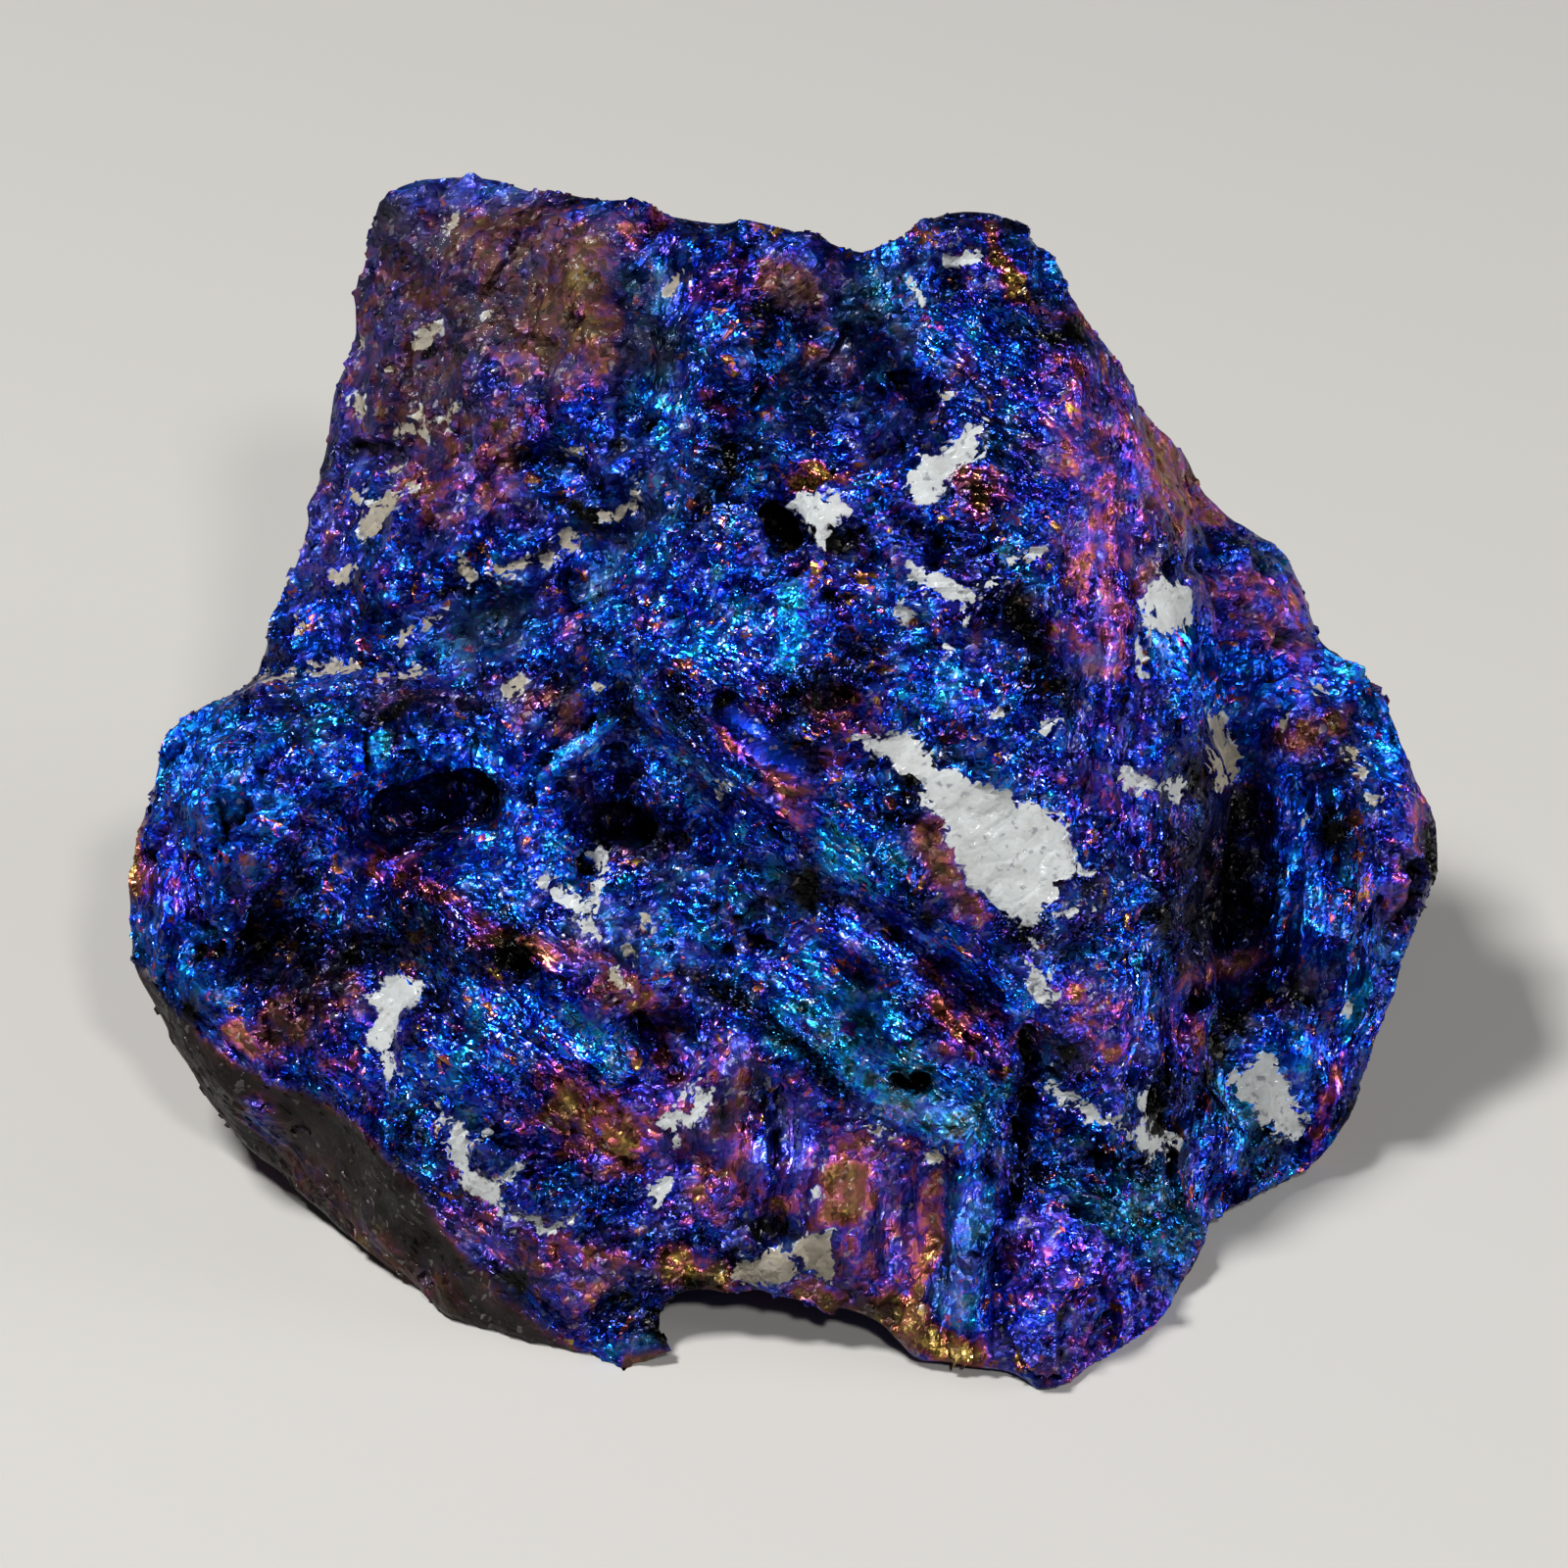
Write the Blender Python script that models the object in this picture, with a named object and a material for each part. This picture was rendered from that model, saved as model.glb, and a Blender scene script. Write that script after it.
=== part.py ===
"""Peacock ore hand specimen.

One broken lump of iridescent copper ore, about 62 mm wide, that stands on its own broad base. The lump is
described first face on: x runs to the right, v up the show face and w out of the face, all in millimetres,
as an eye sees it that looks down at FACE_ELEVATION. A net of flat facets is laid over those points, its creases
along the ridges and valleys of the break. The net is closed with a back and an underside, rounded, given the
hackly relief of broken ore, and cut flat where it stands.
"""
import math

import bmesh
import bpy
from mathutils import Matrix, Vector, geometry, noise

MM = 0.001

# Driving sizes, in millimetres unless a name says otherwise.
FACE_ELEVATION = math.radians(35.0)
EYE_DISTANCE = 400.0
FACE_HEIGHT = 24.2  # the middle of the show face above the floor
BASE_CENTRE_X = 0.05  # the middle of the lump's footprint, from the middle of the show face
BASE_CENTRE_Y = 8.95
CELL = 0.7  # the grain that the facet net is rounded to
ROUNDING_PASSES = 2
SWELL = 0.22  # what rounding the corners takes off the outline
TRIANGLES = 9900
CUTTER_SIZE = 100.0

# Relief of the break: how far it swells and the size of its swellings.
LUMP_HEIGHT = 0.4
LUMP_SIZE = 4.6
LEDGE_HEIGHT = 0.9
LEDGE_SIZE = 5.0
LEDGE_STEPS = 3.0
HACKLE_HEIGHT = 0.2
HACKLE_SIZE = 1.9
RIM_CALM = 0.45  # share of the relief that is left where the face turns to the back
FULL_RELIEF_FACING = 0.5  # how squarely the skin must face the eye, as a cosine, to have all its relief
FULL_PIT_FACING = 0.3
CLEAVAGE = ((1.0, 0.0, 0.7), (0.0, 1.6, 0.0), (-0.4, 0.0, 1.0))  # rows stretch and slant the ledges
LEDGE_START = Vector((7.0, 3.0, 1.0))  # where in the noise the ledges and the hackle are read
HACKLE_START = Vector((2.0, 9.0, 4.0))

# The outline of the show face, clockwise from its upper left corner.
RIM = [
    (-17.3, 28.0, -15.0), (-13.8, 28.3, -15.0), (-11.0, 27.2, -13.5), (-6.6, 26.2, -11.5), (-0.6, 25.7, -10.0),
    (2.7, 24.8, -9.0), (5.8, 24.4, -7.5), (6.5, 25.7, -7.5), (7.9, 26.5, -7.0), (10.5, 25.9, -7.5),
    (11.0, 24.8, -7.5), (12.3, 24.3, -8.0), (13.5, 22.6, -7.5), (14.9, 20.1, -7.2), (15.7, 18.5, -8.4),
    (16.6, 16.9, -14.0), (18.7, 15.0, -18.0), (19.1, 13.4, -18.0), (20.3, 12.5, -19.0), (22.7, 10.9, -20.0),
    (23.6, 8.6, -19.5), (24.6, 6.7, -18.2), (26.7, 4.6, -17.3), (28.4, 2.3, -16.7), (30.0, -1.2, -16.4),
    (30.0, -3.1, -16.4), (29.3, -6.5, -16.4), (28.3, -8.9, -16.4), (27.2, -11.4, -16.4), (25.7, -15.5, -16.2),
    (24.7, -17.2, -15.8), (23.1, -18.6, -14.6), (20.5, -19.8, -12.6), (19.1, -21.6, -10.2), (18.1, -24.1, -7.5),
    (17.1, -25.1, -6.0), (14.7, -26.6, -3.8), (11.9, -28.0, -2.0), (9.0, -27.0, -2.5), (8.1, -26.5, -3.0),
    (6.4, -26.9, -3.5), (4.6, -24.7, -3.5), (1.8, -24.3, -4.0), (-1.4, -23.4, -3.5), (-3.9, -23.0, -4.0),
    (-5.1, -23.3, -4.0), (-5.5, -24.8, -3.8), (-5.2, -27.0, -3.0), (-7.7, -27.0, -3.4), (-9.4, -26.4, -4.2),
    (-11.4, -25.8, -5.0), (-15.2, -24.6, -6.9), (-17.7, -22.7, -9.2), (-21.2, -19.7, -11.8),
    (-24.6, -16.7, -13.5), (-27.7, -12.6, -14.0), (-29.6, -8.1, -13.5), (-29.9, -5.4, -13.0),
    (-29.8, -2.2, -13.0), (-28.6, 1.4, -13.0), (-26.7, 3.5, -13.5), (-24.3, 5.0, -14.0), (-23.4, 6.9, -15.0),
    (-22.2, 11.3, -16.0), (-21.1, 14.3, -16.0), (-20.5, 19.5, -16.5), (-20.3, 22.7, -16.5), (-19.3, 25.2, -16.0),
]

# Creases that the facets of the show face meet along: edges, ridges and valleys.
CREASES = {
    "trench under the upper left slab": [
        (-24.3, 5.0, -14.0), (-20.3, 5.4, -12.2), (-16.2, 5.9, -10.6), (-13.5, 7.2, -9.6), (-10.8, 9.0, -8.6),
        (-8.6, 10.8, -7.8), (-6.8, 13.5, -6.9), (-5.4, 16.2, -7.0), (-5.0, 18.9, -8.2), (-5.2, 21.6, -9.4),
    ],
    "brow over the bowl": [
        (-24.1, 3.8, -11.0), (-20.7, 4.0, -8.6), (-17.1, 3.6, -6.8), (-13.5, 3.7, -5.3), (-10.4, 3.8, -3.6),
        (-7.2, 3.4, -2.1), (-4.5, 2.7, -1.3), (-1.8, 1.4, -0.8), (1.4, 0.0, -0.5),
    ],
    "lip of the bowl": [
        (-7.2, 3.4, -2.1), (-8.1, 2.0, -2.9), (-9.5, 1.1, -3.4), (-10.4, 0.0, -3.8), (-11.3, -1.8, -4.3),
    ],
    "shoulder of the left lobe": [
        (-28.0, 0.6, -11.2), (-26.1, 1.9, -8.4), (-23.5, 1.6, -6.6), (-21.2, 1.8, -6.6), (-18.7, 2.0, -6.2),
    ],
    "long crest under the pit": [
        (-20.3, -2.9, -7.0), (-18.0, -3.6, -6.1), (-15.8, -5.4, -4.9), (-13.5, -6.8, -4.1), (-10.8, -8.1, -3.3),
        (-8.1, -9.5, -3.0),
    ],
    "edge of the undercut facet": [
        (-29.0, -8.6, -12.0), (-27.0, -11.3, -9.8), (-25.2, -13.1, -8.8), (-23.0, -14.0, -7.7),
        (-20.3, -14.9, -6.4), (-18.0, -16.7, -5.6), (-16.7, -18.5, -5.4), (-15.3, -20.7, -5.4),
        (-13.5, -23.0, -5.0), (-11.3, -24.6, -4.5),
    ],
    "right crest": [
        (13.5, 20.4, -5.4), (13.1, 18.0, -3.8), (12.4, 15.3, -2.5), (11.9, 11.7, -1.4), (11.9, 8.1, -0.8),
        (12.4, 4.5, -0.5), (13.1, 0.9, -0.8), (14.0, -3.2, -1.5), (14.4, -6.8, -2.1), (14.6, -10.8, -2.7),
    ],
    "near edge of the cleft": [
        (15.8, 17.2, -7.2), (16.2, 14.9, -5.8), (17.1, 13.1, -5.3), (17.8, 11.3, -4.9), (18.5, 9.0, -4.6),
        (18.2, 6.3, -4.4), (18.5, 3.6, -4.7), (18.9, 0.0, -5.3), (18.2, -3.6, -5.6), (17.8, -7.2, -5.9),
        (17.6, -10.8, -6.3),
    ],
    "floor of the cleft": [
        (16.9, 16.2, -13.5), (18.0, 13.5, -14.2), (19.2, 10.1, -15.5), (19.7, 7.2, -14.6), (19.9, 3.6, -14.6),
        (20.4, 0.0, -15.2), (20.4, -3.6, -16.0), (20.1, -7.2, -15.0), (19.8, -10.8, -12.8), (19.3, -13.5, -11.2),
    ],
    "crest of the far lobe": [
        (21.2, 9.6, -15.4), (21.8, 8.1, -14.2), (22.5, 4.5, -13.2), (24.3, 1.8, -12.4), (25.7, -1.4, -12.0),
        (26.1, -4.5, -12.2), (25.7, -8.1, -12.4), (24.3, -11.7, -12.2), (22.5, -14.9, -11.8), (20.9, -17.6, -11.0),
    ],
    "dark diagonal groove": [
        (3.6, -5.4, -1.8), (7.2, -8.6, -2.3), (10.8, -10.8, -2.8), (11.3, -13.1, -3.3), (10.6, -14.9, -3.5),
        (11.0, -17.6, -3.7), (10.1, -21.6, -3.2), (8.9, -25.4, -3.4),
    ],
    "lower edge of the middle facet": [
        (3.4, -1.9, -0.3), (5.2, -4.3, -0.3), (8.1, -6.3, -0.5), (11.3, -8.9, -0.9),
    ],
    "top of the striated hump": [
        (1.4, -11.7, -0.7), (4.5, -11.9, -0.2), (7.2, -12.2, -0.4), (9.5, -13.1, -1.1),
    ],
    "fin beside the notch": [
        (8.6, -17.1, -1.0), (8.1, -20.7, -1.0), (7.7, -24.3, -2.2),
    ],
    "gap left of the fin": [
        (6.2, -17.3, -2.8), (6.3, -18.9, -3.1), (6.5, -22.5, -3.2),
    ],
    "top edge of the corner block": [
        (11.5, -18.7, -1.7), (13.7, -20.2, -2.2), (14.9, -20.9, -2.8), (17.1, -22.3, -4.4),
    ],
    "recess behind the corner block": [
        (12.2, -17.0, -4.2), (14.0, -18.4, -5.2), (16.2, -20.0, -6.4), (17.6, -21.6, -7.2),
    ],
}

# Single points of the show face between the creases: the middles of facets, lumps and hollows.
FACE_POINTS = {
    "upper left slab": [
        (-16.7, 25.7, -13.6), (-10.8, 24.3, -10.8), (-7.7, 20.9, -7.2), (-14.4, 21.2, -11.8), (-18.0, 17.1, -13.3),
        (-12.6, 17.1, -9.2), (-15.8, 13.5, -10.3), (-19.8, 10.8, -12.6), (-10.8, 12.2, -7.4), (-8.1, 16.2, -6.6),
        (-18.0, 8.8, -10.6), (-21.2, 7.2, -12.4), (-13.9, 9.0, -8.8), (-9.6, 22.8, -9.0), (-10.8, 18.6, -8.6),
    ],
    "lit ramp above the brow": [
        (-12.4, 5.6, -6.8), (-8.1, 6.8, -4.4), (-4.5, 7.2, -2.0), (-1.8, 9.0, -1.6), (0.7, 7.2, -0.6),
        (-3.2, 12.2, -3.2), (-2.0, 4.5, -0.9), (-17.4, 4.9, -8.6),
    ],
    "top": [
        (-2.3, 20.3, -5.6), (-3.4, 23.4, -8.6), (-3.6, 16.7, -4.9), (-0.9, 14.9, -3.8), (0.9, 23.2, -7.2),
        (2.9, 18.7, -8.2), (1.0, 18.2, -6.8), (4.3, 21.8, -7.0), (7.2, 21.2, -5.4), (9.0, 18.0, -3.8),
        (11.3, 20.3, -4.2), (8.1, 25.0, -5.6), (10.4, 23.2, -5.6), (5.2, 18.4, -6.6), (6.6, 23.4, -6.9),
    ],
    "middle facet": [
        (3.6, 14.9, -4.6), (1.9, 12.4, -2.3), (7.9, 14.9, -2.4), (6.8, 11.7, -1.3), (9.0, 9.0, -0.8),
        (5.4, 7.2, -0.5), (3.4, 4.4, -0.3), (7.2, 3.6, 0.1), (5.9, 1.4, 0.3), (9.9, -2.3, 0.2), (11.7, -5.9, -0.5),
        (10.2, 5.2, -0.2),
    ],
    "striated facet right of the crest": [
        (14.4, 16.0, -4.2), (14.9, 11.7, -2.9), (15.2, 7.2, -2.3), (15.8, 2.2, -2.6), (16.0, -3.2, -3.3),
        (16.0, -8.0, -3.9),
    ],
    "flank of the cleft": [
        (22.1, -2.7, -14.2), (22.1, -6.8, -14.0), (21.6, -10.8, -12.2), (21.4, 1.0, -14.0),
    ],
    "outside of the far lobe": [
        (24.6, 4.0, -13.6), (27.9, 0.0, -13.6), (28.3, -4.5, -13.8), (27.0, -9.5, -14.2), (24.8, -14.4, -14.0),
        (22.2, -17.4, -13.2),
    ],
    "bowl": [
        (-6.8, 0.2, -5.4), (-7.2, -2.0, -6.0), (-9.0, -3.4, -5.6), (-4.9, -0.8, -3.9), (-4.3, -3.6, -3.0),
        (-10.4, -5.4, -3.4), (-8.1, -5.9, -3.0), (-5.4, -5.6, -2.7), (-2.7, -4.5, -2.2), (0.0, -2.7, -1.4),
        (0.0, -7.2, -2.0), (-3.6, -9.0, -2.3), (-1.8, -11.7, -1.8), (1.8, -8.6, -1.5), (4.4, -9.4, -1.6),
        (8.3, -11.1, -1.1),
    ],
    "hollow between the bowl and the long pit": [
        (-13.0, 0.4, -6.4), (-13.2, -2.8, -6.0), (-14.6, -3.8, -5.4), (-11.4, -6.0, -3.8), (-13.8, 2.2, -6.0),
    ],
    "left lobe": [
        (-25.7, -0.8, -6.9), (-24.3, -3.2, -6.2), (-27.6, -2.7, -8.4), (-27.2, -5.4, -8.4), (-22.3, -0.6, -6.1),
        (-21.6, -4.9, -7.6), (-20.9, -7.6, -7.8), (-23.6, -7.2, -9.0), (-26.6, -8.3, -9.0), (-24.8, -11.4, -8.6),
        (-22.5, -10.6, -7.6),
    ],
    "lower left face": [
        (-18.0, -10.8, -5.2), (-18.3, -7.0, -6.0), (-14.4, -9.9, -3.8), (-10.8, -11.7, -3.0), (-8.1, -13.5, -2.8),
        (-16.2, -14.4, -4.6), (-12.6, -16.2, -3.4), (-9.0, -15.8, -2.6), (-5.4, -15.3, -2.2), (-10.8, -19.8, -3.4),
        (-7.2, -19.8, -2.8), (-8.1, -23.4, -3.6), (-5.4, -21.4, -3.0), (-6.6, -24.8, -3.6), (-6.0, -11.6, -3.4),
    ],
    "lower middle": [
        (0.0, -14.9, -1.4), (-1.8, -18.0, -1.7), (2.7, -18.9, -1.3), (-3.0, -19.4, -2.3), (0.0, -22.0, -2.4),
        (3.6, -22.6, -2.7), (6.3, -15.3, -1.3), (3.2, -15.2, -2.1), (-3.4, -14.0, -1.9),
    ],
    "corner block": [
        (12.6, -23.4, -1.4), (10.4, -20.3, -1.9), (14.9, -24.2, -3.4),
    ],
    "slope above the corner block": [
        (17.1, -15.8, -6.4), (14.4, -14.4, -3.8), (19.0, -17.4, -9.4), (13.0, -11.9, -2.9),
    ],
}

# Pits and knobs too small for a facet: x, v, radius and depth, a knob's depth being below nought.
PITS = {
    "long pit in the left lobe": [(-18.4, -2.0, 1.7, 3.6), (-16.8, -1.1, 1.7, 3.8), (-15.2, -0.3, 1.4, 2.4)],
    "overhang beside the upper white patch": [(-0.1, 11.7, 0.9, 2.6)],
    "hollow in the slab": [(-10.3, 14.6, 1.2, 1.2)],
    "pit of the tan lump": [(1.4, 23.1, 0.7, 1.0)],
    "holes in the bowl": [(-7.2, -2.0, 0.8, 1.0), (-9.0, -3.6, 0.7, 0.9)],
    "round pit": [(2.2, 4.1, 0.8, 0.8)],
    "hole under the hump": [(5.9, -13.7, 0.8, 1.2)],
    "gash in the lower face": [(-6.4, -11.4, 0.9, 1.4), (-5.6, -12.6, 0.8, 1.1)],
    "hole in the cleft": [(19.0, 10.1, 0.9, 1.2)],
    "orange knob in the slab": [(-17.9, 8.8, 1.1, -0.5)],
    "knob at the top edge": [(8.3, 25.2, 1.3, -0.5)],
    "brown swelling of the slab": [(-7.7, 20.7, 1.9, -0.6)],
    "blue lump at the top": [(-2.3, 20.5, 1.6, -0.7)],
}

# The back and the underside, standing: x to the right, y away from the show face, z above the floor.
BACK_POINTS = {
    "back edge of the top": [
        (-15.0, 30.6, 34.6), (-7.0, 29.0, 34.6), (1.5, 26.8, 35.6), (8.6, 25.6, 35.4), (13.4, 23.2, 32.0),
    ],
    "back at half height": [
        (-20.0, 28.6, 25.0), (-12.5, 31.6, 26.0), (-4.0, 32.0, 24.0), (5.0, 29.0, 25.0), (13.0, 27.6, 21.0),
        (19.5, 26.0, 17.0), (-9.0, 31.2, 19.0), (0.5, 30.8, 17.0),
    ],
    "foot of the back": [
        (-21.0, 22.5, 14.0), (-14.0, 28.0, 12.0), (-4.0, 30.2, 10.0), (6.0, 28.2, 11.0), (15.0, 26.0, 9.0),
        (23.0, 19.6, 7.5), (-10.0, 27.6, 5.0), (9.0, 26.6, 4.6),
    ],
    "back edge of the base": [
        (-17.0, 20.0, -1.0), (-9.0, 24.6, -1.0), (0.0, 26.4, -1.0), (9.0, 24.6, -1.0), (17.0, 20.5, -1.0),
        (22.6, 13.0, -1.0),
    ],
    "left flank": [
        (-26.0, 16.0, 13.0), (-28.4, 11.6, 8.4), (-23.0, 13.6, -1.0), (-27.2, 8.6, 3.0), (-23.6, 18.6, 6.0),
    ],
    "right flank": [
        (27.6, 14.6, 7.0), (26.6, 9.0, 2.2), (24.4, 20.0, 14.0),
    ],
    "base": [
        (-21.5, 6.5, -0.6), (-12.0, 14.0, -0.5), (-14.0, 3.0, -0.6), (-8.0, 8.0, 0.9), (0.0, 16.0, -0.3),
        (0.5, 5.0, 0.9), (9.0, 11.0, 0.8), (16.0, 8.0, -0.7), (14.0, -2.0, -0.7), (8.0, 1.0, 0.3),
        (13.0, -9.5, -0.6), (-12.0, -5.0, -0.6), (-7.4, -9.0, -0.4), (8.0, 18.0, -0.6), (-16.5, 9.0, 0.4),
        (19.0, 3.0, 0.2), (-4.0, 21.0, 0.5), (3.0, 22.0, 0.4),
    ],
    "hollow behind the notch": [
        (-0.6, -7.4, 3.0), (3.0, -6.8, 2.2), (-3.9, -6.6, 2.0), (-0.4, -3.6, 1.6), (5.6, -9.4, 0.4),
    ],
}


def standing(x, v, w):
    """A point of the show face, in millimetres, turned to where it stands. Far points lie wider than they look."""
    spread = 1.0 - w / EYE_DISTANCE
    x, v = x * spread, v * spread
    y = v * math.sin(FACE_ELEVATION) - w * math.cos(FACE_ELEVATION)
    z = v * math.cos(FACE_ELEVATION) + w * math.sin(FACE_ELEVATION) + FACE_HEIGHT
    return Vector((x - BASE_CENTRE_X, y - BASE_CENTRE_Y, z))


def seen(point):
    """The x, v and w at which the face's eye sees a standing point."""
    y = point.y + BASE_CENTRE_Y
    z = point.z - FACE_HEIGHT
    v = y * math.sin(FACE_ELEVATION) + z * math.cos(FACE_ELEVATION)
    w = z * math.sin(FACE_ELEVATION) - y * math.cos(FACE_ELEVATION)
    spread = 1.0 - w / EYE_DISTANCE
    return Vector(((point.x + BASE_CENTRE_X) / spread, v / spread, w))


def laid_net(points, creases):
    """Triangles over the points, inside the rim and along the creases, all told by x and v alone."""
    index = {}
    for point in RIM + points:
        index.setdefault(point, len(index))
    edges = []
    for crease in creases:
        for point in crease:
            index.setdefault(point, len(index))
        edges += [(index[a], index[b]) for a, b in zip(crease, crease[1:])]
    spots = list(index)
    flat = [Vector((x, v)) for x, v, w in spots]
    rim = [index[point] for point in reversed(RIM)]
    inside_only = 1
    merge = 0.0001
    corners, _, faces, sources, _, _ = geometry.delaunay_2d_cdt(flat, edges, [rim], inside_only, merge)
    places = [spots[source[0]] for source in sources]
    return [[places[corner] for corner in face] for face in faces]


def facet_net():
    """The closed net of facets: the show face, and behind it the back and the underside."""
    face_points = [point for group in FACE_POINTS.values() for point in group]
    behind = []
    for group in BACK_POINTS.values():
        for x, y, z in group:
            behind.append(tuple(seen(Vector((x - BASE_CENTRE_X, y - BASE_CENTRE_Y, z)))))
    shell = bmesh.new()
    corners = {}

    def corner(spot):
        if spot not in corners:
            corners[spot] = shell.verts.new(standing(*spot))
        return corners[spot]

    for face in laid_net(face_points, CREASES.values()):
        shell.faces.new([corner(spot) for spot in face])
    for face in laid_net(behind, []):
        shell.faces.new([corner(spot) for spot in reversed(face)])
    bmesh.ops.recalc_face_normals(shell, faces=shell.faces)
    net = bpy.data.meshes.new("facet_net")
    shell.to_mesh(net)
    shell.free()
    return net


def rounded(net):
    """The net as an even skin with its creases worn round."""
    rough = bpy.data.objects.new("rough_lump", net)
    bpy.context.scene.collection.objects.link(rough)
    skin = rough.modifiers.new("even skin", "REMESH")
    skin.mode = "VOXEL"
    skin.voxel_size = CELL
    wear = rough.modifiers.new("worn creases", "SMOOTH")
    wear.factor = 0.5
    wear.iterations = ROUNDING_PASSES
    mesh = evaluated(rough)
    bpy.data.objects.remove(rough)
    return mesh


def stepped(value, steps):
    """A smooth value turned into flat treads with short risers."""
    scaled = value * steps
    tread = math.floor(scaled)
    rise = scaled - tread
    return (tread + (1.0 - math.cos(math.pi * rise)) / 2.0) / steps


def relief(point):
    """How far broken ore swells at a standing point: soft lumps, the ledges of its cleavage, and hackle."""
    lumps = noise.noise(point / LUMP_SIZE)
    slant = Matrix(CLEAVAGE) @ point
    ledges = stepped(noise.noise(slant / LEDGE_SIZE + LEDGE_START), LEDGE_STEPS)
    hackle = noise.noise(slant / HACKLE_SIZE + HACKLE_START)
    return LUMP_HEIGHT * lumps + LEDGE_HEIGHT * ledges + HACKLE_HEIGHT * hackle


def pit_depth(spot):
    """Depth of the pits, less the height of the knobs, at a seen point of the show face."""
    depth = 0.0
    for group in PITS.values():
        for x, v, radius, deep in group:
            away = math.hypot(spot.x - x, spot.y - v) / radius
            depth += deep * math.exp(-away * away)
    return depth


def broken(mesh):
    """Raises the relief of the break and sinks the pits, calmer where the face turns to the back."""
    out_of_face = Vector((0.0, -math.cos(FACE_ELEVATION), math.sin(FACE_ELEVATION)))
    moves = []
    for vertex in mesh.vertices:
        facing = vertex.normal.dot(out_of_face)
        calm = RIM_CALM + (1.0 - RIM_CALM) * min(1.0, abs(facing) / FULL_RELIEF_FACING)
        move = vertex.normal * (SWELL + relief(vertex.co) * calm)
        if facing > 0.0:
            move -= out_of_face * pit_depth(seen(vertex.co)) * min(1.0, facing / FULL_PIT_FACING)
        moves.append(move)
    for vertex, move in zip(mesh.vertices, moves):
        vertex.co += move


def floor_cutter():
    """A slab whose top is the floor, to cut the lump's base flat."""
    bpy.ops.mesh.primitive_cube_add(size=CUTTER_SIZE * MM, location=(0.0, 0.0, -CUTTER_SIZE / 2.0 * MM))
    cutter = bpy.context.object
    cutter.name = "floor_cutter"
    cutter.hide_render = True
    cutter.display_type = "WIRE"
    return cutter


def evaluated(lump):
    """The mesh that an object's modifiers make."""
    return bpy.data.meshes.new_from_object(lump.evaluated_get(bpy.context.evaluated_depsgraph_get()))


def drop_crumbs(mesh):
    """Keeps the lump and drops the crumbs that the floor cuts loose from its foot."""
    shell = bmesh.new()
    shell.from_mesh(mesh)
    waiting = set(shell.faces)
    bodies = []
    while waiting:
        body = [waiting.pop()]
        for face in body:
            for edge in face.edges:
                fresh = [near for near in edge.link_faces if near in waiting]
                waiting.difference_update(fresh)
                body += fresh
        bodies.append(body)
    bodies.sort(key=len)
    crumbs = [face for body in bodies[:-1] for face in body]
    bmesh.ops.delete(shell, geom=crumbs, context="FACES")
    shell.to_mesh(mesh)
    shell.free()


def tarnished_ore():
    """Massive copper iron sulphide under a blue and violet tarnish: a dark metal with a hackly shine."""
    material = bpy.data.materials.new("tarnished_ore")
    material.use_nodes = True
    shader = material.node_tree.nodes["Principled BSDF"]
    shader.inputs["Base Color"].default_value = (0.035, 0.05, 0.26, 1.0)
    shader.inputs["Metallic"].default_value = 0.75
    shader.inputs["Roughness"].default_value = 0.38
    return material


def peacock_ore():
    """The whole lump, one solid."""
    mesh = rounded(facet_net())
    broken(mesh)
    for vertex in mesh.vertices:
        vertex.co *= MM
    lump = bpy.data.objects.new("peacock_ore", mesh)
    bpy.context.scene.collection.objects.link(lump)
    mesh.calc_loop_triangles()
    facets = lump.modifiers.new("broken facets", "DECIMATE")
    facets.ratio = TRIANGLES / len(mesh.loop_triangles)
    facets.use_collapse_triangulate = True
    base = lump.modifiers.new("flat base", "BOOLEAN")
    base.operation = "DIFFERENCE"
    base.solver = "EXACT"
    base.object = floor_cutter()
    cut = evaluated(lump)
    drop_crumbs(cut)
    cut.name = "peacock_ore"
    cut.materials.clear()
    cut.materials.append(tarnished_ore())
    lump.modifiers.clear()
    lump.data = cut


def main():
    for old in list(bpy.data.objects):
        bpy.data.objects.remove(old)
    peacock_ore()


main()
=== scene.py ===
# %% [markdown]
# # Peacock ore, dressed for its portrait
#
# Peacock ore is copper ore whose broken surface has tarnished. The tarnish is a film of oxides and
# sulphides, a few tens of millionths of a millimetre thick, and its thickness sets its colour: gold where
# it is thinnest, then copper, magenta, violet, deep blue, sky blue, and teal where it is thickest. This
# lesson takes the plain solid of one lump, gives it the hackly skin of broken ore, scatters crystal grains
# over it, and paints the film with nodes.

import math

import bmesh
import bpy
import numpy as np
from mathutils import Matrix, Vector, noise


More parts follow.
